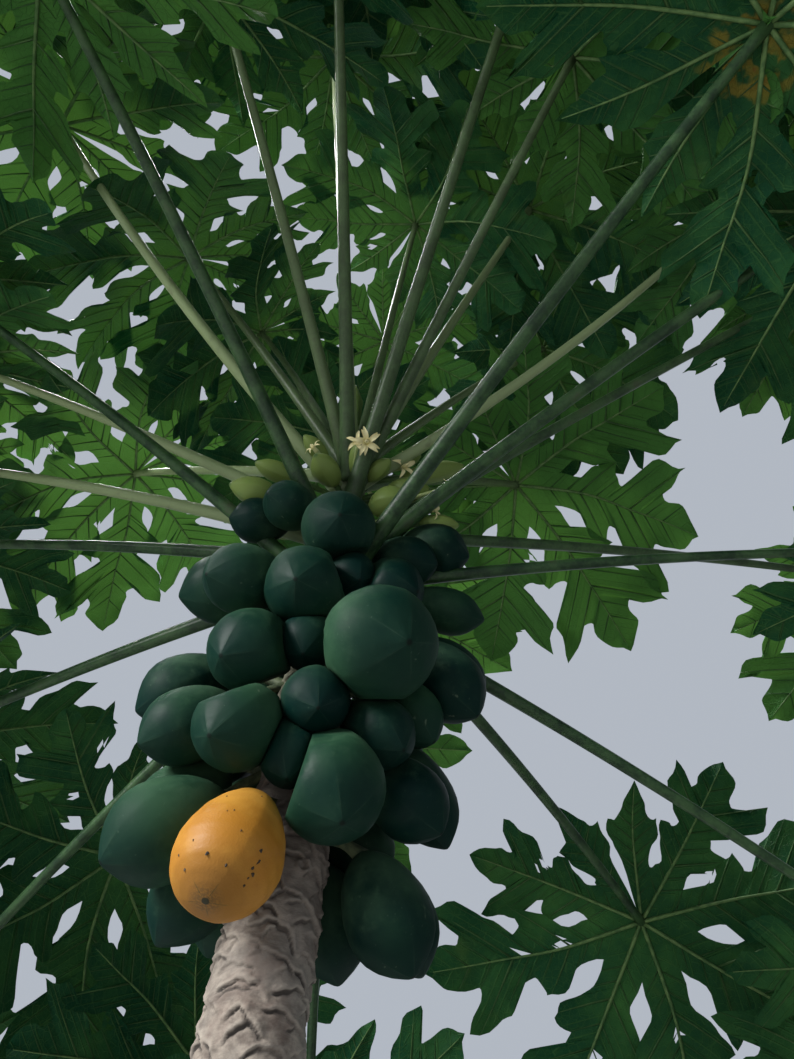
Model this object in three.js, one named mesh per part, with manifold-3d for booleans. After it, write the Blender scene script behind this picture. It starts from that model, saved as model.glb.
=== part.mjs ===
// A fruiting papaya tree: one unbranched trunk with a slight lean, a column of hanging fruit under
// the crown, and a crown of long-stalked, palm-shaped leaves. Millimetres, +Z up, with the origin
// at the middle of the flat cut where the trunk meets level ground.
import * as THREE from "three";
import { mergeVertices } from "three/addons/utils/BufferGeometryUtils.js";
import Module from "manifold-3d";

const wasm = await Module();
wasm.setup();

// Driving dimensions of the trunk
const TRUNK_HEIGHT = 2757;
const LEAN_RIGHT = 220; // how far the tip stands to +X of the foot
const LEAN_FRONT = 100; // how far the tip bows to -Y
const TRUNK_RADIUS_LOW = 97; // just above the flare
const TRUNK_TAPER = 0.0222; // loss of radius for each mm of height, up to the fruit
const CROWN_BASE = 2200; // the height where the soft green top begins
const CROWN_TAPER = 0.042;
const FLARE_HEIGHT = 260;
const FLARE_EXTRA = 42;
const FLARE_RIDGES = 5;
const TRUNK_SIDES = 14;

// Driving dimensions that leaves and fruit share
const SEAT_GAP = 0.4; // clearance between any two pieces that meet
const TIDY = 0.08; // slivers thinner than this are merged away
const STALK_SIDES = 5;
const STALK_PROFILE = [[0, 16.5], [0.4, 13.5], [0.94, 9.5], [1, 9.5]];
const FRUIT_SIDES = 7;

// The crown, from the oldest leaf to the youngest: height of the stalk's foot on the trunk, compass
// direction (0 is +X, 90 is +Y), rise of the stalk above level, the stalk's length, how many degrees
// it bends down on its way (less than 0 bends up), the blade's radius, and how far the blade hangs.
const LEAVES = [
  [2360, 93, -44, 900, 16, 350, 76],
  [2370, 147, -34, 1060, 12, 330, 70],
  [2385, 18, -27, 1060, 10, 350, 62],
  [2400, 109, -32, 900, 12, 330, 74],
  [2402, 311, 24, 1030, 8, 430, 14],
  [2410, 202, 32, 950, 10, 370, 20],
  [2415, 358, 3, 980, 10, 330, 28],
  [2436, 156, -5, 880, 8, 410, 50],
  [2450, 331, 22, 1000, 8, 410, 26],
  [2455, 50, -18, 950, 14, 395, 66],
  [2466, 126, -14, 810, 12, 370, 64],
  [2474, 170, 13, 904, 10, 380, 35],
  [2485, 241, 29, 1000, 8, 410, 16],
  [2500, 342, 24, 1040, 6, 330, 24],
  [2518, 177, 18, 980, 12, 380, 34],
  [2520, 98, 8, 780, 12, 370, 48],
  [2534, 13, 7, 1120, 10, 340, 35],
  [2560, 189, 24, 860, 10, 360, 16],
  [2575, 293, 39, 1040, 6, 400, 12],
  [2580, 84, 34, 700, 12, 360, 34],
  [2612, 303, 34, 862, 8, 350, 35],
  [2632, 219, 39, 940, -18, 380, 20],
  [2645, 269, 36, 1000, 8, 400, 18],
  [2650, 335, 29, 920, -24, 320, 26],
  [2672, 39, 38, 600, 10, 400, 36],
  [2682, 251, 38, 900, 6, 370, 22],
  [2685, 152, 32, 740, 10, 380, 32],
  [2690, 325, 54, 760, 6, 350, 10],
  [2705, 200, 56, 740, 6, 340, 26],
  [2715, 265, 52, 860, 6, 350, 6],
  [2716, 8, 52, 700, 8, 315, 20],
  [2722, 109, 60, 568, 10, 318, 35],
  [2730, 300, 69, 650, 4, 300, 14],
  [2732, 172, 67, 612, 6, 305, 35],
  [2736, 70, 80, 700, 2, 310, 12],
];

// The blade: its ribs as [angle from the tip rib, length as a share of the radius], and the margin of
// half a lobe as [along the rib, out from it], both as shares of the rib's length.
const RIBS = [
  [-163, 0.64], [-128, 0.84], [-88, 0.95], [-44, 1], [0, 1.04], [44, 1], [88, 0.95], [128, 0.84], [163, 0.64],
];
const LOBE_MARGIN = [[0.44, 0.11], [0.78, 0.29], [0.99, 0.3], [0.85, 0.12]];
const SMALL_LOBE_MARGIN = [[0.45, 0.12], [0.8, 0.2]];
const LOBE_HALF_ANGLE = 22; // the spread that the margin above is drawn for
const RIB_STATIONS = [0.5, 0.7];
const SMALL_RIB_STATIONS = [0.6];
const SINUS_DEPTH = 0.27; // where the cut between two lobes ends
const BLADE_THICKNESS = 0.012; // at the ribs, as a share of the blade's width
const FULL_RADIUS = 420; // a blade of this size has a stalk of the full profile above
const BLADE_DROOP = 0.22;
const BLADE_FOLD = 0.16;
const BLADE_ROLL = -14; // neighbours lie over one another like slates

// The fruit, from the lowest: bunch, direction and height of the fruit's middle, its distance from the
// trunk's axis, diameter, length, and how steeply it hangs. Fruits of one bunch share one stalk.
const FRUITS = [
  ["ripe_fruit", 254, 1925, 132, 122, 176, 62],
  ["fruit_01", 204, 1978, 152, 124, 172, 40],
  ["fruit_01", 178, 2050, 150, 104, 150, 44],
  ["fruit_02", 165, 1945, 116, 100, 150, 60],
  ["fruit_02", 128, 1965, 134, 104, 150, 58],
  ["fruit_03", 297, 2010, 128, 130, 180, 58],
  ["fruit_03", 272, 2062, 98, 84, 124, 66],
  ["fruit_04", 0, 1905, 134, 108, 160, 66],
  ["fruit_04", 30, 1935, 168, 100, 156, 62],
  ["fruit_05", 62, 1935, 120, 100, 150, 66],
  ["fruit_05", 96, 1955, 128, 104, 150, 60],
  ["fruit_06", 352, 2040, 150, 100, 140, 50],
  ["fruit_06", 18, 2085, 176, 92, 164, 64],
  ["fruit_07", 322, 2098, 134, 92, 130, 46],
  ["fruit_07", 344, 2155, 150, 84, 132, 58],
  ["fruit_08", 244, 2080, 140, 112, 150, 42],
  ["fruit_08", 282, 2118, 124, 90, 126, 44],
  ["fruit_09", 206, 2116, 162, 102, 150, 40],
  ["fruit_09", 188, 2200, 182, 106, 150, 34],
  ["fruit_10", 238, 2200, 136, 116, 150, 40],
  ["fruit_10", 268, 2234, 96, 84, 124, 58],
  ["big_fruit", 303, 2180, 186, 154, 178, 34],
  ["fruit_11", 354, 2220, 194, 104, 156, 56],
  ["fruit_11", 12, 2275, 204, 100, 150, 56],
  ["fruit_12", 263, 2304, 124, 120, 150, 34],
  ["fruit_12", 226, 2328, 158, 106, 150, 28],
  ["fruit_13", 190, 2388, 168, 112, 150, 24],
  ["fruit_13", 160, 2350, 146, 100, 140, 34],
  ["fruit_14", 277, 2424, 122, 116, 140, 30],
  ["fruit_14", 296, 2366, 92, 76, 112, 50],
  ["fruit_15", 324, 2348, 120, 100, 136, 32],
  ["fruit_15", 344, 2440, 122, 84, 120, 24],
  ["fruit_15", 356, 2484, 164, 98, 126, 18],
  ["fruit_15", 6, 2385, 186, 78, 140, 14],
  ["fruit_16", 232, 2502, 120, 82, 112, 18],
  ["fruit_16", 203, 2508, 142, 78, 108, 16],
  ["fruit_17", 132, 2060, 136, 110, 154, 54],
  ["fruit_17", 150, 2180, 140, 108, 150, 46],
  ["fruit_18", 56, 2050, 136, 108, 154, 56],
  ["fruit_18", 94, 2080, 132, 108, 150, 54],
  ["fruit_19", 112, 2205, 132, 110, 154, 48],
  ["fruit_19", 132, 2320, 134, 106, 142, 36],
  ["fruit_20", 38, 2185, 136, 104, 150, 52],
  ["fruit_20", 74, 2215, 132, 108, 150, 48],
  ["fruit_20", 56, 2330, 134, 104, 142, 38],
  ["fruit_21", 96, 2335, 130, 104, 140, 36],
  ["fruit_21", 80, 2440, 122, 84, 118, 26],
  ["fruit_21", 130, 2450, 120, 86, 118, 24],
];
const FRUIT_PROFILE = [[0, 0.16], [0.12, 0.54], [0.38, 0.88], [0.66, 1], [0.9, 0.64]];
const FRUIT_STALK_RADIUS = 10;
const STALK_RISE = 14; // a fruit's stalk leaves the trunk this much above the fruit's neck

// The young leaves still folded round the growing tip: direction, rise, length and greatest radius.
const FOLDED_LEAVES = [[20, 78, 230, 20], [140, 68, 200, 17], [262, 74, 170, 15]];
const FOLDED_PROFILE = [[0, 0.5], [0.45, 0.6], [0.75, 1], [0.95, 0.4]];

const rad = THREE.MathUtils.degToRad;
const compass = (degrees, rise = 0) => new THREE.Vector3(
  Math.cos(rad(rise)) * Math.cos(rad(degrees)),
  Math.cos(rad(rise)) * Math.sin(rad(degrees)),
  Math.sin(rad(rise)),
);

function trunkAxis(height) {
  const share = height / TRUNK_HEIGHT;
  return new THREE.Vector3(LEAN_RIGHT * share, -LEAN_FRONT * share ** 3, height);
}

function trunkRadius(height) {
  if (height > CROWN_BASE) return trunkRadius(CROWN_BASE) - CROWN_TAPER * (height - CROWN_BASE);
  return TRUNK_RADIUS_LOW - TRUNK_TAPER * height;
}

// A closed BufferGeometry as a solid for cutting and joining.
function solidOf(geometry) {
  const bare = geometry.clone();
  bare.deleteAttribute("normal");
  bare.deleteAttribute("uv");
  const merged = mergeVertices(bare, 1e-3);
  return new wasm.Manifold(new wasm.Mesh({
    numProp: 3,
    vertProperties: merged.attributes.position.array,
    triVerts: new Uint32Array(merged.index.array),
  }));
}

function geometryOf(solid) {
  const { vertProperties, triVerts, numProp, numVert } = solid.getMesh();
  const positions = new Float32Array(numVert * 3);
  for (let i = 0; i < numVert; i++) positions.set(vertProperties.subarray(i * numProp, i * numProp + 3), i * 3);
  const geometry = new THREE.BufferGeometry();
  geometry.setAttribute("position", new THREE.BufferAttribute(positions, 3));
  geometry.setIndex(new THREE.BufferAttribute(new Uint32Array(triVerts), 1));
  geometry.computeVertexNormals();
  return geometry;
}

// A turned profile of [share of the path, radius] pairs, bent along that path and closed at both ends.
function bentLathe(path, profile, sides) {
  const outline = profile.map(([share, radius]) => new THREE.Vector2(radius, share));
  outline.unshift(new THREE.Vector2(0, profile[0][0]));
  outline.push(new THREE.Vector2(0, 1));
  const geometry = new THREE.LatheGeometry(outline, sides);
  const position = geometry.attributes.position;
  const tangent = new THREE.Vector3();
  const side = new THREE.Vector3();
  const up = new THREE.Vector3();
  for (let i = 0; i < position.count; i++) {
    const point = path(position.getY(i), tangent);
    side.set(-tangent.y, tangent.x, 0).normalize();
    up.crossVectors(tangent, side);
    point.addScaledVector(side, position.getX(i)).addScaledVector(up, -position.getZ(i));
    position.setXYZ(i, point.x, point.y, point.z);
  }
  return solidOf(geometry);
}

// The trunk: rings round the leaning axis, flared into root ridges at the foot, closed by flat cuts.
function makeTrunk(grow = 0) {
  const heights = [0, 40, 110, FLARE_HEIGHT];
  for (let height = 400; height < CROWN_BASE; height += 180) heights.push(height);
  for (let height = CROWN_BASE; height < TRUNK_HEIGHT; height += 110) heights.push(height);
  heights.push(TRUNK_HEIGHT + grow);
  const outline = heights.map((height) => new THREE.Vector2(trunkRadius(height) + grow, height));
  outline.unshift(new THREE.Vector2(0, 0));
  outline.push(new THREE.Vector2(0, TRUNK_HEIGHT + grow));
  const geometry = new THREE.LatheGeometry(outline, TRUNK_SIDES);
  const position = geometry.attributes.position;
  for (let i = 0; i < position.count; i++) {
    const height = position.getY(i);
    const angle = Math.atan2(position.getX(i), position.getZ(i));
    let radius = Math.hypot(position.getX(i), position.getZ(i));
    if (radius > 1 && height < FLARE_HEIGHT) {
      const near = (1 - height / FLARE_HEIGHT) ** 2;
      radius += FLARE_EXTRA * near * (0.7 + 0.3 * Math.cos(FLARE_RIDGES * angle));
    }
    const axis = trunkAxis(height);
    position.setXYZ(i, axis.x + radius * Math.sin(angle), axis.y - radius * Math.cos(angle), height);
  }
  return solidOf(geometry);
}

// A leaf stalk's path: it starts inside the trunk and bends evenly in its own upright plane.
function stalkPath(foot, direction, rise, length, bend) {
  const start = trunkAxis(foot).addScaledVector(compass(direction), trunkRadius(foot) * 0.7);
  return (share, tangent) => {
    const steps = 12;
    const point = start.clone();
    for (let i = 0; i < steps; i++) {
      const middle = (share * (i + 0.5)) / steps;
      point.addScaledVector(compass(direction, rise + bend * (0.5 - middle)), (length * share) / steps);
    }
    tangent.copy(compass(direction, rise + bend * (0.5 - share)));
    return point;
  };
}

function straightPath(start, end) {
  const way = end.clone().sub(start);
  return (share, tangent) => {
    tangent.copy(way).normalize();
    return start.clone().addScaledVector(way, share);
  };
}

// The blade's frame at the stalk's end: out along the tip rib, across, and up through its face.
function bladeFrame(direction, hang) {
  const out = compass(direction, -hang);
  const up = compass(direction, 90 - hang).applyAxisAngle(out, rad(BLADE_ROLL));
  return { out, up, across: new THREE.Vector3().crossVectors(up, out) };
}

// The margin and the rib stations of one lobe, in the blade's flat plane, as shares of the radius.
function lobePoints(index) {
  const [angle, length] = RIBS[index];
  const small = index === 0 || index === RIBS.length - 1;
  const margin = small ? SMALL_LOBE_MARGIN : LOBE_MARGIN;
  const at = (along, out) => new THREE.Vector2(along * length, out * length).rotateAround(new THREE.Vector2(), rad(angle));
  const spread = (other) => {
    const gap = other < 0 ? 360 - RIBS.at(-1)[0] + RIBS[0][0] : Math.abs(RIBS[other][0] - angle);
    return Math.min(1, gap / 2 / LOBE_HALF_ANGLE);
  };
  const before = spread(index === 0 ? -1 : index - 1);
  const after = spread(index === RIBS.length - 1 ? -1 : index + 1);
  return {
    right: margin.map(([along, out]) => at(along, -out * before)),
    tip: at(1.1, 0),
    left: margin.map(([along, out]) => at(along, out * after)),
    stations: (small ? SMALL_RIB_STATIONS : RIB_STATIONS).map((along) => at(along, 0)),
  };
}

function sinusPoint(index) {
  const last = index === RIBS.length - 1;
  const middle = last ? 180 : (RIBS[index][0] + RIBS[index + 1][0]) / 2;
  const depth = last ? 0.07 : SINUS_DEPTH;
  return new THREE.Vector2(depth, 0).rotateAround(new THREE.Vector2(), rad(middle));
}

// A leaf is one skin: the stalk's rings, then the blade's two faces, which meet at the margin and stand
// apart at the ribs. The blade droops away from the stalk and folds up between its ribs. A grown leaf,
// used to clear the space round it, is thicker all over, so that its margin becomes a rim.
function makeLeaf([foot, direction, rise, length, bend, radius, hang], grow = 0) {
  const path = stalkPath(foot, direction, rise, length, bend);
  const centre = path(1, new THREE.Vector3());
  const frame = bladeFrame(direction, hang);
  const thickness = BLADE_THICKNESS * radius + grow;
  const stoutness = radius / FULL_RADIUS;
  const positions = [];
  const index = [];
  const vertex = (point) => positions.push(...point) / 3 - 1;
  const place = (flat, lift, offset) => vertex(centre.clone()
    .addScaledVector(frame.out, flat.x * (radius + grow))
    .addScaledVector(frame.across, flat.y * (radius + grow))
    .addScaledVector(frame.up, (lift - BLADE_DROOP * flat.lengthSq()) * radius + offset));
  const pair = (flat, lift, half) => [place(flat, lift, half), place(flat, lift, -half)];
  const onMargin = (flat, lift) => {
    if (grow) return pair(flat, lift, grow);
    const single = place(flat, lift, 0);
    return [single, single];
  };
  const folded = (flat) => Object.assign(onMargin(flat, BLADE_FOLD * 0.14 * flat.length()), { angle: flat.angle() });
  const facet = (a, b, c) => index.push(a[0], b[0], c[0], a[1], c[1], b[1]);
  const rim = (a, b) => {
    if (grow) index.push(a[0], a[1], b[1], a[0], b[1], b[0]);
  };

  // the blade, lobe by lobe; under the hub its lower face is left open for the stalk
  const hub = place(new THREE.Vector2(), 0, thickness);
  const aroundHub = [];
  const sinuses = RIBS.map((_, i) => folded(sinusPoint(i)));
  RIBS.forEach(([ribAngle], i) => {
    const lobe = lobePoints(i);
    const right = [sinuses.at(i - 1), ...lobe.right.map(folded)];
    const left = [sinuses[i], ...lobe.left.map(folded)];
    const tip = onMargin(lobe.tip, -0.03);
    const ribs = lobe.stations.map((flat, k) => pair(flat, 0, thickness * (0.8 - 0.3 * k)));
    const last = right.length - 1;
    ribs[0].angle = rad((ribAngle + 360) % 360);
    aroundHub.push(right[0], right[1], ribs[0], left[1]);
    // each rib point serves the margin beside it, working out from the hub to the tip
    const reach = last === 4 ? [3, 4] : [2];
    let at = 1;
    ribs.forEach((rib, k) => {
      for (; at < reach[k]; at++) {
        facet(rib, right[at], right[at + 1]);
        facet(rib, left[at + 1], left[at]);
      }
      if (k === ribs.length - 1) return;
      facet(rib, right[at], ribs[k + 1]);
      facet(rib, ribs[k + 1], left[at]);
    });
    facet(ribs.at(-1), right[last], tip);
    facet(ribs.at(-1), tip, left[last]);
    const edge = [...right, tip, ...left.reverse()];
    for (let k = 1; k < edge.length; k++) rim(edge[k - 1], edge[k]);
  });

  // the stalk, ring by ring, its last ring lying in the blade's lower face
  const tangent = new THREE.Vector3();
  const rings = STALK_PROFILE.map(([share, width], j) => {
    const ring = [];
    const middle = path(share, tangent);
    const side = new THREE.Vector3(-tangent.y, tangent.x, 0).normalize();
    const up = new THREE.Vector3().crossVectors(tangent, side);
    for (let k = 0; k < STALK_SIDES; k++) {
      const turn = (k * 2 * Math.PI) / STALK_SIDES;
      const wide = width * stoutness + grow;
      const [over, along] = [Math.cos(turn) * wide, Math.sin(turn) * wide];
      if (j === STALK_PROFILE.length - 1) ring.push(place(new THREE.Vector2(-along, over).divideScalar(radius), 0, -thickness));
      else ring.push(vertex(middle.clone().addScaledVector(side, over).addScaledVector(up, along)));
    }
    return ring;
  });
  const footCentre = vertex(path(0, tangent));
  for (let k = 0; k < STALK_SIDES; k++) {
    const next = (k + 1) % STALK_SIDES;
    index.push(footCentre, rings[0][next], rings[0][k]);
    for (let j = 1; j < rings.length; j++) {
      const [from, to] = [rings[j - 1], rings[j]];
      index.push(from[k], from[next], to[k], from[next], to[next], to[k]);
    }
  }

  // the faces round the hub: a fan above, and below it a collar stitched to the stalk's last ring
  const collar = rings.at(-1);
  const step = (2 * Math.PI) / STALK_SIDES;
  const nearest = (k) => {
    const from = aroundHub[k].angle;
    const span = (aroundHub[(k + 1) % aroundHub.length].angle - from + 2 * Math.PI) % (2 * Math.PI);
    return (Math.round((from + span / 2 - Math.PI / 2) / step) + STALK_SIDES) % STALK_SIDES;
  };
  let held = nearest(aroundHub.length - 1);
  aroundHub.forEach((from, k) => {
    const to = aroundHub[(k + 1) % aroundHub.length];
    const near = nearest(k);
    if (near !== held) index.push(collar[held], collar[near], from[1]);
    held = near;
    index.push(hub, from[0], to[0], collar[near], to[1], from[1]);
  });

  const geometry = new THREE.BufferGeometry();
  geometry.setAttribute("position", new THREE.Float32BufferAttribute(positions, 3));
  geometry.setIndex(index);
  return solidOf(geometry);
}

// A fruit hangs outward from the trunk on a short stalk. Its line is kept to find where it presses on others.
function makeFruit([bunch, direction, height, out, diameter, length, dip], foot) {
  const middle = trunkAxis(height).addScaledVector(compass(direction), out);
  const along = compass(direction, -dip);
  const neck = middle.clone().addScaledVector(along, -length / 2);
  const end = middle.clone().addScaledVector(along, length / 2);
  const profile = FRUIT_PROFILE.map(([share, width]) => [share, (width * diameter) / 2]);
  return {
    bunch,
    neck,
    line: [0.25, 0.4, 0.55, 0.7, 0.8].map((share) => neck.clone().lerp(end, share)),
    body: bentLathe(straightPath(neck, end), profile, FRUIT_SIDES),
  };
}

// The stalks of one bunch fan out from one foot inside the trunk, each ending inside its fruit's neck.
function addStalks(bunch) {
  const foot = bunch.reduce((sum, fruit) => sum.add(fruit.neck), new THREE.Vector3()).divideScalar(bunch.length);
  const axis = trunkAxis(foot.z + STALK_RISE);
  const inward = foot.sub(axis).setZ(0).normalize().multiplyScalar(trunkRadius(axis.z) * 0.85);
  const start = axis.add(inward);
  for (const fruit of bunch) {
    const reach = straightPath(start, fruit.neck.clone().lerp(fruit.line[0], 0.3));
    const profile = [[0, FRUIT_STALK_RADIUS], [1, FRUIT_STALK_RADIUS]];
    fruit.stalk = bentLathe(reach, profile, STALK_SIDES);
    fruit.stalkSpace = bentLathe(reach, grown(profile, SEAT_GAP), STALK_SIDES);
  }
}

const grown = (profile, grow) => profile.map(([share, radius]) => [share, radius + grow]);
const meets = (a, b) => a.intersect(b).volume() > 0.001;
const clearOf = (solid, space) => (meets(solid, space) ? solid.subtract(space) : solid);
const mainPiece = (solid) => solid.decompose().sort((a, b) => b.volume() - a.volume())[0];

// Two fruits that press together are flattened against each other at the plane between their lines.
function pressTogether(a, b) {
  if (!meets(a.body, b.body)) return;
  let normal = null;
  for (const p of a.line) {
    for (const q of b.line) {
      const way = q.clone().sub(p);
      if (!normal || way.length() < normal.length()) normal = way;
    }
  }
  normal.normalize();
  const reach = (solid, sign) => {
    const { vertProperties: v } = solid.getMesh();
    let most = -Infinity;
    for (let i = 0; i < v.length; i += 3) {
      most = Math.max(most, sign * (v[i] * normal.x + v[i + 1] * normal.y + v[i + 2] * normal.z));
    }
    return sign * most;
  };
  const plane = (reach(a.body, 1) + reach(b.body, -1)) / 2;
  const half = SEAT_GAP / 2;
  a.body = a.body.trimByPlane(normal.clone().negate().toArray(), -(plane - half));
  b.body = b.body.trimByPlane(normal.toArray(), plane + half);
}

// The growing tip: a short dome on the trunk's end with the youngest leaves folded round it.
function makeGrowingTip() {
  const start = trunkAxis(TRUNK_HEIGHT - 5);
  const radius = trunkRadius(TRUNK_HEIGHT);
  const dome = straightPath(start, trunkAxis(TRUNK_HEIGHT + 60));
  let tip = bentLathe(dome, [[0, radius], [0.5, radius * 0.8]], 12);
  for (const [direction, rise, length, width] of FOLDED_LEAVES) {
    const end = start.clone().addScaledVector(compass(direction, rise), length);
    const profile = FOLDED_PROFILE.map(([share, part]) => [share, part * width]);
    tip = tip.add(bentLathe(straightPath(start, end), profile, STALK_SIDES));
  }
  return tip;
}

const group = new THREE.Group();
const bark = new THREE.MeshStandardMaterial({ color: 0x8a7b6a, roughness: 0.9, metalness: 0 });
const leafGreen = new THREE.MeshStandardMaterial({ color: 0x2f5a24, roughness: 0.6, metalness: 0 });

const fruitGreen = new THREE.MeshStandardMaterial({ color: 0x3c5f4c, roughness: 0.55, metalness: 0 });
const fruitOrange = new THREE.MeshStandardMaterial({ color: 0xd98a1e, roughness: 0.5, metalness: 0 });

function addPiece(name, solid, material) {
  const piece = new THREE.Mesh(geometryOf(mainPiece(solid.asOriginal().simplify(TIDY))), material);
  piece.name = name;
  group.add(piece);
}

// Where two leaves cross, the one that loses less gives way round the other.
const seat = makeTrunk(SEAT_GAP);
const leaves = LEAVES.map((leaf) => ({
  whole: mainPiece(makeLeaf(leaf).subtract(seat)),
  space: makeLeaf(leaf, SEAT_GAP),
}));
leaves.forEach((leaf, i) => {
  for (let k = 0; k < i; k++) {
    const other = leaves[k];
    if (!meets(leaf.whole, other.whole)) continue;
    const first = mainPiece(leaf.whole.subtract(other.space));
    const second = mainPiece(other.whole.subtract(leaf.space));
    if (leaf.whole.volume() - first.volume() < other.whole.volume() - second.volume()) leaf.whole = first;
    else other.whole = second;
  }
});

const fruits = FRUITS.map(makeFruit);
const bunches = new Map();
for (const fruit of fruits) bunches.set(fruit.bunch, [...(bunches.get(fruit.bunch) ?? []), fruit]);
bunches.forEach(addStalks);
fruits.forEach((fruit, i) => {
  for (let k = 0; k < i; k++) pressTogether(fruits[k], fruit);
});
for (const fruit of fruits) {
  for (const leaf of leaves) {
    fruit.body = clearOf(fruit.body, leaf.space);
    fruit.stalk = clearOf(fruit.stalk, leaf.space);
  }
  for (const other of fruits) {
    if (other.bunch !== fruit.bunch) fruit.body = clearOf(fruit.body, other.stalkSpace);
  }
}

addPiece("trunk", makeTrunk(), bark);
let tip = makeGrowingTip().subtract(seat);
for (const leaf of leaves) tip = clearOf(tip, leaf.space);
addPiece("growing_tip", tip, leafGreen);
leaves.forEach(({ whole }, i) => addPiece(`leaf_${String(i + 1).padStart(2, "0")}`, whole, leafGreen));
bunches.forEach((bunch, name) => {
  const whole = bunch.reduce((sum, { stalk, body }) => (sum ? sum.add(stalk) : stalk).add(body), null);
  addPiece(name, whole.subtract(seat), name === "ripe_fruit" ? fruitOrange : fruitGreen);
});

export default group;
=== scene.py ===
"""A fruiting papaya tree: one unbranched trunk, a column of fruit under the crown, and long-stalked,
palm-shaped leaves. Metres, +Z up, with the origin at the middle of the flat cut at ground level.
"""

import math
import random

import bpy
import numpy as np
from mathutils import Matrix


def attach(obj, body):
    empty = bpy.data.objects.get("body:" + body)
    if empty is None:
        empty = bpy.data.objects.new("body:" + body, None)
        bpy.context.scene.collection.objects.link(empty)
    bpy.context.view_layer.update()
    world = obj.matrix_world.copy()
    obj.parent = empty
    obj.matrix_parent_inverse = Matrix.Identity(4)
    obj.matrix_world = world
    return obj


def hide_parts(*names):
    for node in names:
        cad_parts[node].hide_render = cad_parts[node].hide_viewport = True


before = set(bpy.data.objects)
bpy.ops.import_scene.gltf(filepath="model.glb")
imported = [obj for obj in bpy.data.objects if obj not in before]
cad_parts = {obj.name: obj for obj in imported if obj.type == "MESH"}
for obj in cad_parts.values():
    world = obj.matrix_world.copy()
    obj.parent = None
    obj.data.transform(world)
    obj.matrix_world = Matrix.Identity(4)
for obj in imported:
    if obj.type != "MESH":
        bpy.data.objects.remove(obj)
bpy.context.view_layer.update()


# Trunk. One unbranched, fibrous stem with a slight lean and a low flare, green only near its top. Each
# fallen leaf has left a broad scar with a raised lip and a crease under it, and the scars climb the
# trunk in a spiral. It stands on a flat cut at ground level.
TRUNK_HEIGHT = 2.757
LEAN_RIGHT = 0.220
LEAN_FRONT = 0.100
TRUNK_RADIUS_LOW = 0.097
TRUNK_TAPER = 0.0222
CROWN_BASE = 2.2
CROWN_TAPER = 0.042
FLARE_HEIGHT = 0.26
FLARE_EXTRA = 0.042
FLARE_RIDGES = 5
TRUNK_ROWS = 730
TRUNK_SIDES = 135
CLOSE_ROWS = (1.60, 2.02)  # the rows of points lie closer together between these heights
CLOSER = 1.9  # how many more rows lie there for each one elsewhere
SPIRAL = 137.5  # degrees from one leaf to the next
SCARS_BETWEEN = (0.06, 2.42)  # heights of the lowest and the highest scar
SCAR_STEP = 0.0028  # height from one scar to the next
SCAR_REACH = (0.05, 0.06)  # how far a scar shapes the trunk below and above it
SCAR_SHARE = 0.084  # half the width of a scar, as a share of the girth
SCAR_ARCH = 0.016
LIP_HEIGHT = 0.0036
LIP_SLOPE = 0.007  # the lip falls off gently above its edge
LIP_EDGE = 0.0022  # and steeply under it
CREASE_DEPTH = 0.0026
CREASE_DROP = 0.0028  # the crease lies this far below the lip
CREASE_WIDTHS = (0.0027, 0.0018)  # below and above its middle
NUB_HEIGHTS = [0, 0.0012, 0.0018, -0.0012]  # a nub may stand out, be sunk or be missing
NUB_ABOVE = 0.012  # it sits this far above the lip
NUB_HALF_WIDTH = 0.006
NUB_HALF_HEIGHT = 0.0045
WAVES = 14  # long, shallow waves in the bark
WAVE_DEPTH = 0.0007
YOUNG_BARK = (2.2, 2.5)  # the scars grow shallower between these heights
STUBS = [(306, 1.941), (352, 1.953), (250, 1.62), (330, 1.45)]  # where fruit stalks have dropped off
STUB_RADIUS = 0.0065
STUB_RIM = 0.0045
STUB_HOLLOW = 0.002


def compass(degrees, rise=0.0):
    """Unit vectors toward compass directions (0 is +X, 90 is +Y), raised above level."""
    turn, lift = np.broadcast_arrays(np.radians(degrees), np.radians(rise))
    return np.stack([np.cos(lift) * np.cos(turn), np.cos(lift) * np.sin(turn), np.sin(lift)], -1)


def smoothstep(low, high, value):
    share = np.clip((value - low) / (high - low), 0, 1)
    return share * share * (3 - 2 * share)


def trunk_axis(height):
    share = np.asarray(height, float) / TRUNK_HEIGHT
    return np.stack([LEAN_RIGHT * share, -LEAN_FRONT * share**3, TRUNK_HEIGHT * share], -1)


def trunk_radius(height):
    low = np.minimum(height, CROWN_BASE)
    return TRUNK_RADIUS_LOW - TRUNK_TAPER * low - CROWN_TAPER * (height - low)


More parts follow.
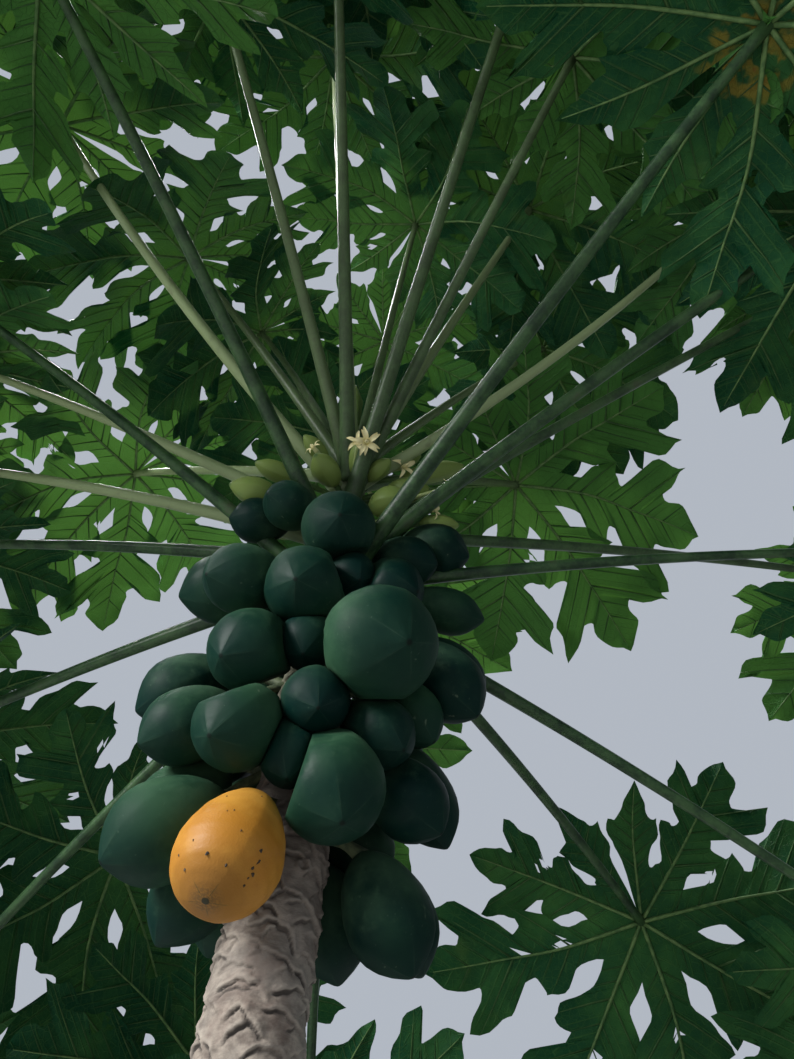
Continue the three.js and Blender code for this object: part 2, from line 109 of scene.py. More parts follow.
class Pile:
    """Parts of one kind, gathered into a single mesh. Each part brings its points, faces and marks."""

    def __init__(self):
        self.points, self.faces, self.marks, self.count = [], [], {}, 0

    def add(self, points, faces, **marks):
        points = np.reshape(points, (-1, 3))
        self.points.append(points)
        self.faces += [np.asarray(face_set) + self.count for face_set in faces]
        for name, values in marks.items():
            values = np.asarray(values, float)
            if values.ndim == 0 or values.shape == (3,):
                values = np.broadcast_to(values, (len(points), *values.shape))
            self.marks.setdefault(name, []).append(values)
        self.count += len(points)

    def piece(self, name, material, slot, nodes=()):
        mesh = bpy.data.meshes.new(name)
        corners = np.concatenate([face_set.ravel() for face_set in self.faces])
        sizes = np.concatenate([np.full(len(face_set), face_set.shape[1]) for face_set in self.faces])
        mesh.vertices.add(self.count)
        mesh.vertices.foreach_set("co", np.concatenate(self.points).ravel().astype(np.float32))
        mesh.loops.add(len(corners))
        mesh.loops.foreach_set("vertex_index", corners.astype(np.int32))
        mesh.polygons.add(len(sizes))
        mesh.polygons.foreach_set("loop_start", (np.cumsum(sizes) - sizes).astype(np.int32))
        mesh.polygons.foreach_set("use_smooth", np.ones(len(sizes), bool))
        for mark, values in self.marks.items():
            values = np.concatenate(values)
            kind, key = ("FLOAT", "value") if values.ndim == 1 else ("FLOAT_VECTOR", "vector")
            mesh.attributes.new(mark, kind, "POINT").data.foreach_set(key, values.ravel().astype(np.float32))
        mesh.update(calc_edges=True)
        mesh.validate()
        mesh.materials.append(material)
        piece = bpy.data.objects.new(name, mesh)
        bpy.context.scene.collection.objects.link(piece)
        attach(piece, "root")
        if nodes:
            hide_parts(*nodes)


def grid_faces(rows, columns, closed=True):
    """The quads of a grid of rows by columns of points, joined round each row if it is closed."""
    down = np.arange(rows - 1)[:, None] * columns
    along = np.arange(columns if closed else columns - 1)[None, :]
    beside = (along + 1) % columns
    below = down + columns
    return np.stack([down + along, down + beside, below + beside, below + along], -1).reshape(-1, 4)


def cap_faces(start, columns, centre, upward):
    """The fan that closes one ring of a grid on a centre point."""
    ring = start + np.arange(columns)
    beside = start + (np.arange(columns) + 1) % columns
    fan = np.stack([np.full(columns, centre), ring, beside], -1)
    return fan if upward else fan[:, ::-1]


def closed_faces(rows, sides):
    """The faces of a grid closed round and at both ends. Its two end points come after all the others."""
    ends = rows * sides
    return [
        grid_faces(rows, sides),
        cap_faces(0, sides, ends, upward=False),
        cap_faces(ends - sides, sides, ends + 1, upward=True),
    ]


class Shade:
    """One output in a material's node tree. A sum written on it becomes a node."""

    def __init__(self, tree, socket=None):
        self.tree = tree
        self.socket = socket

    def node(self, kind, settings=None, sockets=None, output=0):
        """Adds a node with its settings, then the values or links of its sockets, and gives an output."""
        made = self.tree.nodes.new("ShaderNode" + kind)
        for name, value in (settings or {}).items():
            setattr(made, name, value)
        for name, value in (sockets or {}).items():
            self.feed(made.inputs[name], value)
        return Shade(self.tree, made.outputs[output])

    def feed(self, socket, value):
        if isinstance(value, Shade):
            self.tree.links.new(value.socket, socket)
        elif socket.type == "RGBA":
            socket.default_value = (*value, 1.0)
        else:
            socket.default_value = value

    def math(self, operation, *values):
        return self.node("Math", {"operation": operation}, dict(enumerate(values)))

    def __add__(self, other):
        return self.math("ADD", self, other)

    def __sub__(self, other):
        return self.math("SUBTRACT", self, other)

    def __rsub__(self, other):
        return self.math("SUBTRACT", other, self)

    def __mul__(self, other):
        return self.math("MULTIPLY", self, other)

    __radd__ = __add__
    __rmul__ = __mul__

    def ramp(self, low, high):
        """0 below low and 1 above high, with a smooth change between. It falls where low is the greater."""
        limits = {"Value": self, "From Min": low, "From Max": high}
        return self.node("MapRange", {"interpolation_type": "SMOOTHSTEP"}, limits)

    def coated(self, *coats):
        """This colour with coats over it, each a colour and the share of it that shows."""
        colour = self
        for coat, share in coats:
            colour = share.colour(colour, coat)
        return colour

    def colour(self, first, second):
        """The first colour where this value is 0, and the second where it is 1."""
        return self.node("Mix", {"data_type": "RGBA"}, {0: self, 6: first, 7: second}, output=2)

    def part(self, axis):
        """One number of a vector: 0, 1 or 2 for X, Y or Z."""
        return self.node("SeparateXYZ", None, {0: self}, output=axis)

    def stretched(self, *scale):
        return self.node("VectorMath", {"operation": "MULTIPLY"}, {0: self, 1: scale})

    def noise(self, scale, detail=4.0, roughness=0.55):
        sockets = {"Vector": self, "Scale": scale, "Detail": detail, "Roughness": roughness}
        return self.node("TexNoise", None, sockets)

    def cell_walls(self, scale):
        """Distance to the nearest wall of a net of cells."""
        return self.node("TexVoronoi", {"feature": "DISTANCE_TO_EDGE"}, {"Vector": self, "Scale": scale})

    def bump(self, distance, strength=1.0):
        return self.node("Bump", None, {"Strength": strength, "Distance": distance, "Height": self})


class Finish:
    """A material with one Principled shader, whose sockets are fed by Shade values."""

    def __init__(self, name):
        self.material = bpy.data.materials.new(name)
        self.material.use_nodes = True
        self.tree = self.material.node_tree
        self.shader = self.tree.nodes["Principled BSDF"]
        self.start = Shade(self.tree)

    def mark(self, name, output=0):
        """A mark of the mesh: output 0 as a colour, 1 as a vector, 2 as a number."""
        return self.start.node("Attribute", {"attribute_name": name}, output=output)

    def place(self):
        return self.start.node("TexCoord", output=3)

    def set(self, **sockets):
        for name, value in sockets.items():
            self.start.feed(self.shader.inputs[name.replace("_", " ")], value)


rng = random.Random(11)
evenly = np.linspace(0, TRUNK_HEIGHT, 4000)
close = abs(evenly - np.mean(CLOSE_ROWS)) < np.ptp(CLOSE_ROWS) / 2
crowding = np.cumsum(1 + CLOSER * close)
height = np.interp(np.linspace(crowding[0], crowding[-1], TRUNK_ROWS), crowding, evenly)[:, None]
turn = np.arange(TRUNK_SIDES)[None, :] * 2 * math.pi / TRUNK_SIDES
girth = 2 * math.pi * trunk_radius(height)
lip = np.zeros((TRUNK_ROWS, TRUNK_SIDES))
crease = np.zeros((TRUNK_ROWS, TRUNK_SIDES))
nubs = np.zeros((TRUNK_ROWS, TRUNK_SIDES))
scar_height, scars_end = SCARS_BETWEEN
scar_turn = 0.0
while scar_height < scars_end:
    scar_turn += math.radians(SPIRAL) + rng.uniform(-0.12, 0.12)
    band = [scar_height - SCAR_REACH[0], scar_height + SCAR_REACH[1]]
    rows = slice(*np.searchsorted(height[:, 0], band))
    half_width = SCAR_SHARE * rng.uniform(0.75, 1.3)
    across = ((turn - scar_turn) / (2 * math.pi) + 0.5) % 1 - 0.5
    across = across / half_width
    tilt = rng.uniform(-0.012, 0.003)
    wings = np.cos(0.5 * math.pi * np.clip(across, -1, 1))
    arch = scar_height + SCAR_ARCH * rng.uniform(0.6, 1.3) * wings + tilt * across
    arch = arch + 0.0014 * np.sin(7 * across + rng.uniform(0, 6))
    arch = arch + 0.0007 * np.sin(17 * across + rng.uniform(0, 6))
    steep = np.hypot(1, np.gradient(arch, axis=1) * TRUNK_SIDES / girth[rows])
    above = (height[rows] - arch) / steep
    fade = 1 - smoothstep(0.62, 1.0, np.abs(across))
    strength = rng.uniform(0.7, 1.4)
    lip_form = np.where(above > 0, np.exp(-above / LIP_SLOPE), np.exp(-((above / LIP_EDGE) ** 2)))
    ridge = lip_form * fade * strength
    uneven = 0.70 + 0.30 * np.sin(2.4 * across + rng.uniform(0, 6.28))
    groove_width = np.where(above < -CREASE_DROP, *CREASE_WIDTHS)
    groove = np.exp(-(((above + CREASE_DROP) / groove_width) ** 2)) * fade * strength * uneven
    lip[rows] = np.maximum(lip[rows] * (1 - 0.8 * np.clip(groove, 0, 1)), ridge)
    crease[rows] = np.maximum(crease[rows] * (1 - np.clip(ridge, 0, 1)), groove)
    nub_across = (across + rng.uniform(-0.15, 0.15)) * half_width * girth[rows]
    nub = np.exp(-((nub_across / NUB_HALF_WIDTH) ** 2) - ((above - NUB_ABOVE) / NUB_HALF_HEIGHT) ** 2)
    nubs[rows] += nub * rng.choice(NUB_HEIGHTS)
    scar_height += SCAR_STEP * rng.uniform(0.8, 1.2)
worn = smoothstep(0.02, 0.5, height) * (1 - 0.6 * smoothstep(*YOUNG_BARK, height))
relief = (LIP_HEIGHT * lip - CREASE_DEPTH * crease + nubs) * worn
for _ in range(WAVES):
    turns, climb = rng.randint(1, 6), rng.uniform(12, 130)
    depth, phase = WAVE_DEPTH * rng.uniform(0.3, 1), rng.uniform(0, 6.28)
    relief = relief + depth * np.sin(turns * turn + climb * height + phase)
for stub_direction, stub_height in STUBS:
    stub_turn = math.radians(stub_direction + 90)
    beside = (turn - stub_turn + math.pi) % (2 * math.pi) - math.pi
    gap = np.hypot(beside * trunk_radius(height), height - stub_height)
    relief = relief + STUB_RIM * np.exp(-(((gap - STUB_RADIUS) / 0.0032) ** 2))
    relief = relief - STUB_HOLLOW * np.exp(-((gap / 0.004) ** 2))
near = np.clip(1 - height / FLARE_HEIGHT, 0, 1) ** 2
reach = trunk_radius(height) + FLARE_EXTRA * near * (0.7 + 0.3 * np.cos(FLARE_RIDGES * turn)) + relief
trunk_points = trunk_axis(height[:, 0])[:, None, :] + np.stack(
    [reach * np.sin(turn), -reach * np.cos(turn), np.zeros_like(reach)], -1
)
trunk = Pile()
ends = np.stack([trunk_axis(0.0), trunk_axis(TRUNK_HEIGHT)])
trunk.add(
    np.concatenate([trunk_points.reshape(-1, 3), ends]),
    closed_faces(TRUNK_ROWS, TRUNK_SIDES),
    lip=np.concatenate([(lip * worn).ravel(), [0, 0]]),
    crease=np.concatenate([(crease * worn).ravel(), [0, 0]]),
)

BARK_DARK = (0.122, 0.097, 0.079)
BARK_PALE = (0.315, 0.270, 0.220)
BARK_SHADOW = (0.022, 0.018, 0.015)
BARK_GREEN = (0.085, 0.125, 0.055)
bark = Finish("papaya_bark")
grain = bark.place().stretched(1.0, 1.0, 1.5).noise(48.0, 7.0, 0.66)
blotch = bark.place().noise(9.0, 3.0)
bark_colour = grain.ramp(0.30, 0.70).colour(BARK_DARK, BARK_PALE)
# height with a little blotch; it places both the painted shade under the fruit and the green near the top
height_for_shade_and_green = bark.place().part(2) + blotch * 0.25
bark_colour = bark_colour.coated(
    ((0.225, 0.212, 0.185), blotch.ramp(0.45, 0.68) * 0.55),
    ((0.140, 0.096, 0.078), bark.place().noise(17.0, 3.0).ramp(0.52, 0.70) * 0.5),
    # painted highlight: the bark is paler on the raised lips of the scars, where light catches them
    ((0.37, 0.33, 0.275), bark.mark("lip", 2).ramp(0.50, 1.00) * 0.35),
    (BARK_SHADOW, bark.mark("crease", 2).ramp(0.22, 0.85) * 0.86),
    # painted shade: the bark is darker from just under the fruit upward
    (BARK_DARK, height_for_shade_and_green.ramp(1.90, 2.12) * 0.60),
    (BARK_GREEN, height_for_shade_and_green.ramp(2.22, 2.48) * 0.85),
)
wrinkles = bark.place().stretched(1.0, 1.0, 2.4).noise(60.0, 5.0, 0.62)
bark.set(
    Base_Color=bark_colour,
    Roughness=0.86,
    Normal=(wrinkles * 0.7 + grain * 0.5).bump(0.004, 0.7),
)
trunk.piece("trunk_skin", bark.material, "bark", ["trunk"])


# Leaf stalks. Long, hollow, slightly fluted stems that widen where they clasp the trunk and bend a
# little under their blades. The old ones are dark and dull, and the young ones pale green.
FULL_RADIUS = 0.42  # a blade of this size has a stalk of the full profile below
STALK_PROFILE = [(0, 0.0150), (0.4, 0.0118), (0.94, 0.0084), (1, 0.0088)]
STALK_SIDES = 15
STALK_ROWS = 34
STALK_FOOT_ROWS = 8  # of them in the wide foot
STALK_BENDS = 12  # short straight lengths that a bent stalk is summed from
# height of the foot, direction, rise, length, bend, the blade's radius and its hang
LEAVES = [
    (2.36, 93, -44, 0.9, 16, 0.35, 76), (2.37, 147, -34, 1.06, 12, 0.33, 70),
    (2.385, 18, -27, 1.06, 10, 0.35, 62), (2.4, 109, -32, 0.9, 12, 0.33, 74),
    (2.402, 311, 24, 1.03, 8, 0.43, 14), (2.41, 202, 32, 0.95, 10, 0.37, 20),
    (2.415, 358, 3, 0.98, 10, 0.33, 28), (2.436, 156, -5, 0.88, 8, 0.41, 50),
    (2.45, 331, 22, 1.0, 8, 0.41, 26), (2.455, 50, -18, 0.95, 14, 0.395, 66),
    (2.466, 126, -14, 0.81, 12, 0.37, 64), (2.474, 170, 13, 0.904, 10, 0.38, 35),
    (2.485, 241, 29, 1.0, 8, 0.41, 16), (2.5, 342, 24, 1.04, 6, 0.33, 24),
    (2.518, 177, 18, 0.98, 12, 0.38, 34), (2.52, 98, 8, 0.78, 12, 0.37, 48),
    (2.534, 13, 7, 1.12, 10, 0.34, 35), (2.56, 189, 24, 0.86, 10, 0.36, 16),
    (2.575, 293, 39, 1.04, 6, 0.4, 12), (2.58, 84, 34, 0.7, 12, 0.36, 34),
    (2.612, 303, 34, 0.862, 8, 0.35, 35), (2.632, 219, 39, 0.94, -18, 0.38, 20),
    (2.645, 269, 36, 1.0, 8, 0.4, 18), (2.65, 335, 29, 0.92, -24, 0.32, 26),
    (2.672, 39, 38, 0.6, 10, 0.4, 36), (2.682, 251, 38, 0.9, 6, 0.37, 22),
    (2.685, 152, 32, 0.74, 10, 0.38, 32), (2.69, 325, 54, 0.76, 6, 0.35, 10),
    (2.705, 200, 56, 0.74, 6, 0.34, 26), (2.715, 265, 52, 0.86, 6, 0.35, 6),
    (2.716, 8, 52, 0.7, 8, 0.315, 20), (2.722, 109, 60, 0.568, 10, 0.318, 35),
    (2.73, 300, 69, 0.65, 4, 0.3, 14), (2.732, 172, 67, 0.612, 6, 0.305, 35),
    (2.736, 70, 80, 0.7, 2, 0.31, 12),
]
PALE_STALKS = (22, 24, 30, 15, 18, 27)  # numbers of the leaves whose stalks are still pale


def stalk_points(leaf, shares):
    """Points on a leaf stalk's middle line, which bends evenly in its own upright plane."""
    foot, direction, rise, length, bend = leaf[:5]
    start = trunk_axis(foot) + compass(direction) * trunk_radius(foot) * 0.7
    middle = shares[:, None] * (np.arange(STALK_BENDS) + 0.5) / STALK_BENDS
    steps = compass(direction, rise + bend * (0.5 - middle))
    return start + steps.sum(1) * (length * shares / STALK_BENDS)[:, None]


def along_profile(profile, share, **ends):
    """A width read off a profile of corners, each a share of the length and the width there."""
    places, widths = np.array(profile).T
    return np.interp(share, places, widths, **ends)


def tube(line, radii, sides, over, flutes=0.0):
    """A closed tube round a line of points. Its rings are level with the vector over."""
    forward = np.gradient(line, axis=0)
    forward /= np.linalg.norm(forward, axis=1, keepdims=True)
    side = np.cross(forward, over)
    side /= np.linalg.norm(side, axis=1, keepdims=True)
    up = np.cross(side, forward)
    around = np.arange(sides) * 2 * math.pi / sides
    radii = radii[:, None] * (1 + flutes * np.cos(5 * around)[None, :])
    rings = line[:, None] + radii[..., None] * (
        np.cos(around)[None, :, None] * side[:, None] + np.sin(around)[None, :, None] * up[:, None]
    )
    rows = len(line)
    points = np.concatenate([rings.reshape(-1, 3), line[[0, -1]]])
    shares = np.repeat(np.linspace(0, 1, rows), sides)
    return points, closed_faces(rows, sides), np.concatenate([shares, [0, 1]])


stalks = Pile()
foot_shares = np.linspace(0, 0.08, STALK_FOOT_ROWS)
stalk_shares = np.concatenate([foot_shares, np.linspace(0.11, 1, STALK_ROWS - STALK_FOOT_ROWS)])
for number, leaf in enumerate(LEAVES, 1):
    line = stalk_points(leaf, stalk_shares)
    width = along_profile(STALK_PROFILE, stalk_shares) * leaf[5] / FULL_RADIUS
    width = width * (1 + 0.35 * np.exp(-stalk_shares / 0.05) + 0.25 * smoothstep(0.975, 1, stalk_shares))
    points, faces, along = tube(line, width, STALK_SIDES, np.array([0, 0, 1.0]), flutes=0.035)
    youth = 0.45 * smoothstep(2.40, 2.74, leaf[0])
    paleness = 1.0 if number in PALE_STALKS else youth * rng.uniform(0.6, 1.3)
    marks = [along, np.full(len(along), paleness), np.full(len(along), number)]
    stalks.add(points, faces, stalk=np.stack(marks, -1))

STALK_DARK = (0.010, 0.030, 0.012)
STALK_MID = (0.038, 0.088, 0.030)
STALK_PALE = (0.240, 0.310, 0.150)
stalk_skin = Finish("leaf_stalk_skin")
stalk_mark = stalk_skin.mark("stalk", 1)
stalk_paleness = stalk_mark.part(1)
stalk_along = stalk_mark.part(0)
mottle = stalk_skin.place().noise(26.0, 4.0)
fine = stalk_skin.place().noise(190.0, 3.0)
stalk_colour = (mottle * 0.7 + fine * 0.3).ramp(0.36, 0.64).colour(STALK_DARK, STALK_MID)
stalk_colour = stalk_colour.coated(
    (STALK_PALE, (stalk_paleness + stalk_along * 0.10).ramp(0.05, 1.05)),
    ((0.060, 0.035, 0.038), mottle.ramp(0.60, 0.75) * 0.4),
)
stalk_bump = fine.bump(0.0008, 0.6)
stalk_skin.set(Base_Color=stalk_colour, Specular_IOR_Level=0.25, Roughness=0.38, Normal=stalk_bump)
stalks.piece("leaf_stalks", stalk_skin.material, "leaf_green")


# Leaf blades. Thin, palm-shaped blades of nine lobes, each cut again into side lobes with sharp tips.
# They droop from the hub, fold up from their ribs, and are puckered between the veins. Old ones have
# torn holes, and neighbours lie over one another like slates.
RIBS = [
    (-163, 0.64), (-128, 0.84), (-88, 0.95), (-44, 1.0), (0, 1.04), (44, 1.0), (88, 0.95),
    (128, 0.84), (163, 0.64),
]  # angle from the tip rib, and length as a share of the radius
LOBE_HALF_ANGLE = 22
SINUS_DEPTH = 0.27
BACK_SINUS_DEPTH = 0.07
BLADE_DROOP = 0.22
BLADE_LIFT = 0.0224
PUCKER_HEIGHT = 0.0075
BLADE_ROLL = -14
BACK_GAP = 34  # degrees from a back rib to the edge beside the stalk
# Painted shade: the old leaves and those in IN_THICK_CROWN get darker undersides and let less light through.
OLD_LEAVES = 12  # the leaves up to this number are old: they lie in the shade and have more holes
HOLES_OLD = 8
HOLES_YOUNG = 3
IN_THICK_CROWN = (23, 26, 28, 29, 30, 31, 32, 33, 34, 35)  # leaves that others shade
# painted shade on these leaves, by a smaller share
HALF_SHADED = (22, 27)
# painted light: this leaf is given the tone of a fully lit leaf
SUNLIT_LEAF = 25
TURNING_LEAF = 5  # has begun to turn yellow and red near its hub
TURNING_SPOT = (-0.03, 0.02)
TURNING_RADIUS = 0.08
UPPER_FROM = 23  # so many leaves are below the upper ones, and so many below the middle ones
MIDDLE_FROM = 11
SIDE_VEINS = 13  # on each side of a rib, in one radius of the blade
VEIN_SLANT = 0.85  # a side vein goes this far along its lobe for each step out from the rib
# half a lobe's margin: along the rib, out from it, and whether it is a sharp corner
LOBE_MARGIN = [
    (0.38, 0.1, 0), (0.45, 0.16, 0), (0.51, 0.215, 0), (0.595, 0.238, 1), (0.605, 0.178, 0),
    (0.615, 0.13, 0), (0.66, 0.128, 0), (0.71, 0.195, 0), (0.78, 0.285, 0), (0.87, 0.335, 0),
    (0.985, 0.34, 1), (0.945, 0.245, 0), (0.88, 0.16, 0), (0.905, 0.122, 0), (0.97, 0.125, 0),
    (1.04, 0.088, 0), (1.1, 0.0, 1),
]
SMALL_LOBE_MARGIN = [
    (0.45, 0.13, 0), (0.58, 0.2, 0), (0.68, 0.245, 0), (0.8, 0.26, 1), (0.81, 0.18, 0),
    (0.87, 0.135, 0), (0.97, 0.095, 0), (1.1, 0.0, 1),
]
HUB_STEPS = 6
MARGIN_STEPS = 3  # points in each stretch between two of the margin's corners
VEIN_STEPS = 6  # points from the rib to the margin


def margin_points(corners):
    """A margin drawn as smooth curves between its sharp corners."""
    drawn = [np.array(corners[0][:2])]
    first = 0
    for last in range(1, len(corners)):
        if not corners[last][2]:
            continue
        run = np.array([corner[:2] for corner in corners[first:last + 1]])
        run = np.concatenate([[2 * run[0] - run[1]], run, [2 * run[-1] - run[-2]]])
        for k in range(1, len(run) - 2):
            before, start, end, after = run[k - 1:k + 3]
            for share in (np.arange(MARGIN_STEPS) + 1) / MARGIN_STEPS:
                drawn.append(
                    0.5 * (
                        2 * start + (end - before) * share
                        + (2 * before - 5 * start + 4 * end - after) * share**2
                        + (3 * start - before - 3 * end + after) * share**3
                    )
                )
        first = last
    return np.array(drawn)


class Blade:
    """One leaf's blade: its frame at the stalk's end, and how each of its lobes bends."""

    def __init__(self, number, leaf):
        self.number = number
        self.rng = random.Random(100 + number)
        foot, direction, *_, self.radius, hang = leaf
        self.centre = stalk_points(leaf, np.array([1.0]))[0]
        self.out = compass(direction, -hang)
        level = compass(direction, 90 - hang)
        roll = math.radians(BLADE_ROLL)
        self.up = level * math.cos(roll) + np.cross(self.out, level) * math.sin(roll)
        self.across = np.cross(self.up, self.out)
        age = float(np.clip((2.74 - foot) / 0.38, 0, 1))
        pick = self.rng.uniform
        self.lobes = [
            {
                "droop": pick(-0.30, 0.06) * (0.35 + 0.65 * age),
                "twist": pick(-0.36, 0.36),
                "sway": pick(-0.15, 0.15),
                "stretch": pick(-0.05, 0.03),
                "wave": pick(0.010, 0.024),
                "phase": pick(0, 6.28),
            }
            for _ in RIBS
        ]
        halves = [(lobe, side) for lobe in range(len(RIBS)) for side in (-1, 1)]
        young = 0.12 * float(smoothstep(2.64, 2.72, foot))  # the top leaves are full
        self.fullness = {half: 1 + young + pick(-0.10, 0.08) for half in halves}
        self.shift = {half: pick(-0.025, 0.025) for half in halves}
        self.ragged = {half: (pick(0, 6.28), pick(0, 6.28)) for half in halves}

    def spread(self, lobe, side):
        """How wide half a lobe is, as a share of a full one, and the angle and depth of its sinus."""
        other = lobe + side
        gap = BACK_GAP if other in (-1, len(RIBS)) else abs(RIBS[other][0] - RIBS[lobe][0])
        depth = BACK_SINUS_DEPTH if other in (-1, len(RIBS)) else SINUS_DEPTH
        return min(1, gap / 2 / LOBE_HALF_ANGLE), math.radians(gap / 2), depth

    def place(self, lobe, along, aside, share, below=0.0):
        """The point in space of a place on a lobe, with share from 0 at the rib to 1 at the margin."""
        bend = self.lobes[lobe]
        loose = smoothstep(0.27, 0.72, np.hypot(along, aside))
        along_bent = along * (1 + bend["stretch"] * loose)
        aside_bent = aside + bend["sway"] * loose * along**2
        angle = math.radians(RIBS[lobe][0])
        x = along_bent * math.cos(angle) - aside_bent * math.sin(angle)
        y = along_bent * math.sin(angle) + aside_bent * math.cos(angle)
        from_hub = np.hypot(x, y)
        lift = BLADE_LIFT * from_hub * share - BLADE_DROOP * from_hub**2
        lift = lift + bend["droop"] * loose * np.maximum(from_hub - 0.35, 0) ** 2
        lift = lift + bend["twist"] * loose * aside
        ripple = np.sin(26 * along + bend["phase"] + 2 * np.sign(aside))
        lift = lift + bend["wave"] * loose * share**2 * ripple
        foot = along - VEIN_SLANT * np.abs(aside)
        pucker = np.abs(np.sin(math.pi * foot * SIDE_VEINS)) * np.sin(math.pi * np.clip(share, 0, 1))
        lift = lift + PUCKER_HEIGHT * pucker * smoothstep(0.05, 0.35, from_hub)
        flat = np.stack([x, y, lift], -1)
        point = self.centre + (flat @ np.stack([self.out, self.across, self.up])) * self.radius
        return point - self.up * np.asarray(below)[..., None], flat

    def half_lobe(self, lobe, side):
        """The grid of half a lobe: feet on the rib, points on the margin, and the lines between them."""
        wide, half_gap, depth = self.spread(lobe, side)
        length = RIBS[lobe][1]
        corners = SMALL_LOBE_MARGIN if lobe in (0, len(RIBS) - 1) else LOBE_MARGIN
        fuller, shift = self.fullness[lobe, side], self.shift[lobe, side]
        sinus = (depth * math.cos(half_gap) / length, depth * math.sin(half_gap) / length, 1)
        moved = []
        for along, out, sharp in corners:
            slide = shift * float(smoothstep(0.45, 0.75, along) * (1 - smoothstep(1.0, 1.08, along)))
            moved.append((along + slide, out * wide * fuller, sharp))
        margin = margin_points([sinus, *moved]) * length
        run = np.arange(1, len(margin) - 1)
        first, second = self.ragged[lobe, side]
        margin[1:-1, 1] *= 1 + 0.06 * np.sin(1.1 * run + first)
        margin[1:-1, 0] += 0.007 * np.sin(0.9 * run + second)
        hub = np.linspace(0, 1, HUB_STEPS, endpoint=False)[:, None] * margin[:1]
        margin = np.concatenate([hub, margin])
        feet = np.maximum.accumulate(np.maximum(margin[:, 0] - VEIN_SLANT * margin[:, 1], 0))
        feet[-1] = margin[-1, 0]
        share = np.linspace(0, 1, VEIN_STEPS + 1)[None, :]
        along = feet[:, None] * (1 - share) + margin[:, :1] * share
        aside = side * margin[:, 1:] * share
        return along, aside, np.broadcast_to(share, along.shape), feet


def blade_mesh(blade, torn):
    """The points, triangles and marks of one blade. Lobes are joined where they share points."""
    points, keys, marks, veins, triangles, count = [], [], [], [], [], 0
    # painted shade: each leaf's tone sets how dark its underside is painted and how much light passes
    # through it
    in_shade = blade.number <= OLD_LEAVES or blade.number in IN_THICK_CROWN
    # it is low for leaves in shade, high for the sunlit leaf, and random within these
    tone = 0.18 * blade.rng.random() if in_shade else blade.rng.uniform(0.35, 1)
    if blade.number in HALF_SHADED:
        tone *= 0.40
    if blade.number == SUNLIT_LEAF:
        tone = 0.95
    for lobe in range(len(RIBS)):
        angle = math.radians(RIBS[lobe][0])
        for side in (-1, 1):
            along, aside, share, feet = blade.half_lobe(lobe, side)
            point, flat = blade.place(lobe, along, aside, share)
            keys.append(
                np.stack([
                    along * math.cos(angle) - aside * math.sin(angle),
                    along * math.sin(angle) + aside * math.cos(angle),
                ], -1).reshape(-1, 2)
            )
            points.append(point.reshape(-1, 3))
            place = flat.reshape(-1, 3) * blade.radius
            place[:, 2] = blade.number
            marks.append(place)
            foot = np.broadcast_to(feet[:, None], share.shape)
            veins.append(np.stack([foot, share, np.full(share.shape, tone)], -1).reshape(-1, 3))
            quads = grid_faces(*share.shape, closed=False) + count
            quads = quads if side > 0 else quads[:, ::-1]
            triangles += [quads[:, [0, 1, 2]], quads[:, [0, 2, 3]]]
            count += share.size
    keys, points = np.concatenate(keys), np.concatenate(points)
    _, first, joined = np.unique(np.round(keys, 5), axis=0, return_index=True, return_inverse=True)
    triangles = joined.reshape(-1)[np.concatenate(triangles)]
    a, b, c = triangles.T
    triangles = triangles[(a != b) & (b != c) & (c != a)]
    points, marks, veins = points[first], np.concatenate(marks)[first], np.concatenate(veins)[first]
    middle = keys[first][triangles].mean(1)
    keep = np.ones(len(triangles), bool)
    for _ in range(torn):
        distance, bearing = blade.rng.uniform(0.35, 0.95), blade.rng.uniform(-2.9, 2.9)
        hole = np.array([math.cos(bearing), math.sin(bearing)]) * distance
        away = middle - hole
        ragged = 1 + 0.35 * np.sin(3 * np.arctan2(away[:, 1], away[:, 0]) + bearing * 7)
        keep &= np.hypot(away[:, 0], away[:, 1]) > blade.rng.uniform(0.010, 0.030) * ragged
    used, again = np.unique(triangles[keep], return_inverse=True)
    return points[used], again.reshape(-1, 3), marks[used], veins[used]


blades = [Blade(number, leaf) for number, leaf in enumerate(LEAVES, 1)]

UNDERSIDE_DARK = (0.003, 0.042, 0.017)
UNDERSIDE_LIGHT = (0.054, 0.170, 0.036)
YELLOWED = (0.060, 0.115, 0.024)
VEIN_COLOUR = (0.050, 0.130, 0.038)
SHINE_THROUGH = (0.038, 0.098, 0.014)
leaf_skin = Finish("papaya_leaf")
flat_place = leaf_skin.mark("flat", 1)
vein_mark = leaf_skin.mark("vein", 1)
vein_foot = vein_mark.part(0)
vein_share = vein_mark.part(1)
# the third number of the vein mark is the leaf's tone, low where a leaf is painted in shade
leaf_shade_and_tone = vein_mark.part(2)
vein_number = vein_foot * SIDE_VEINS
side_vein = vein_number.math("PINGPONG", vein_number, 0.5)
side_vein = side_vein.ramp(0.075, 0.02) * vein_share.ramp(1.0, 0.75)
net = flat_place.cell_walls(62.0).ramp(0.045, 0.008)
fine_net = flat_place.cell_walls(170.0).ramp(0.10, 0.02)
patch = flat_place.noise(7.0, 4.0, 0.6)
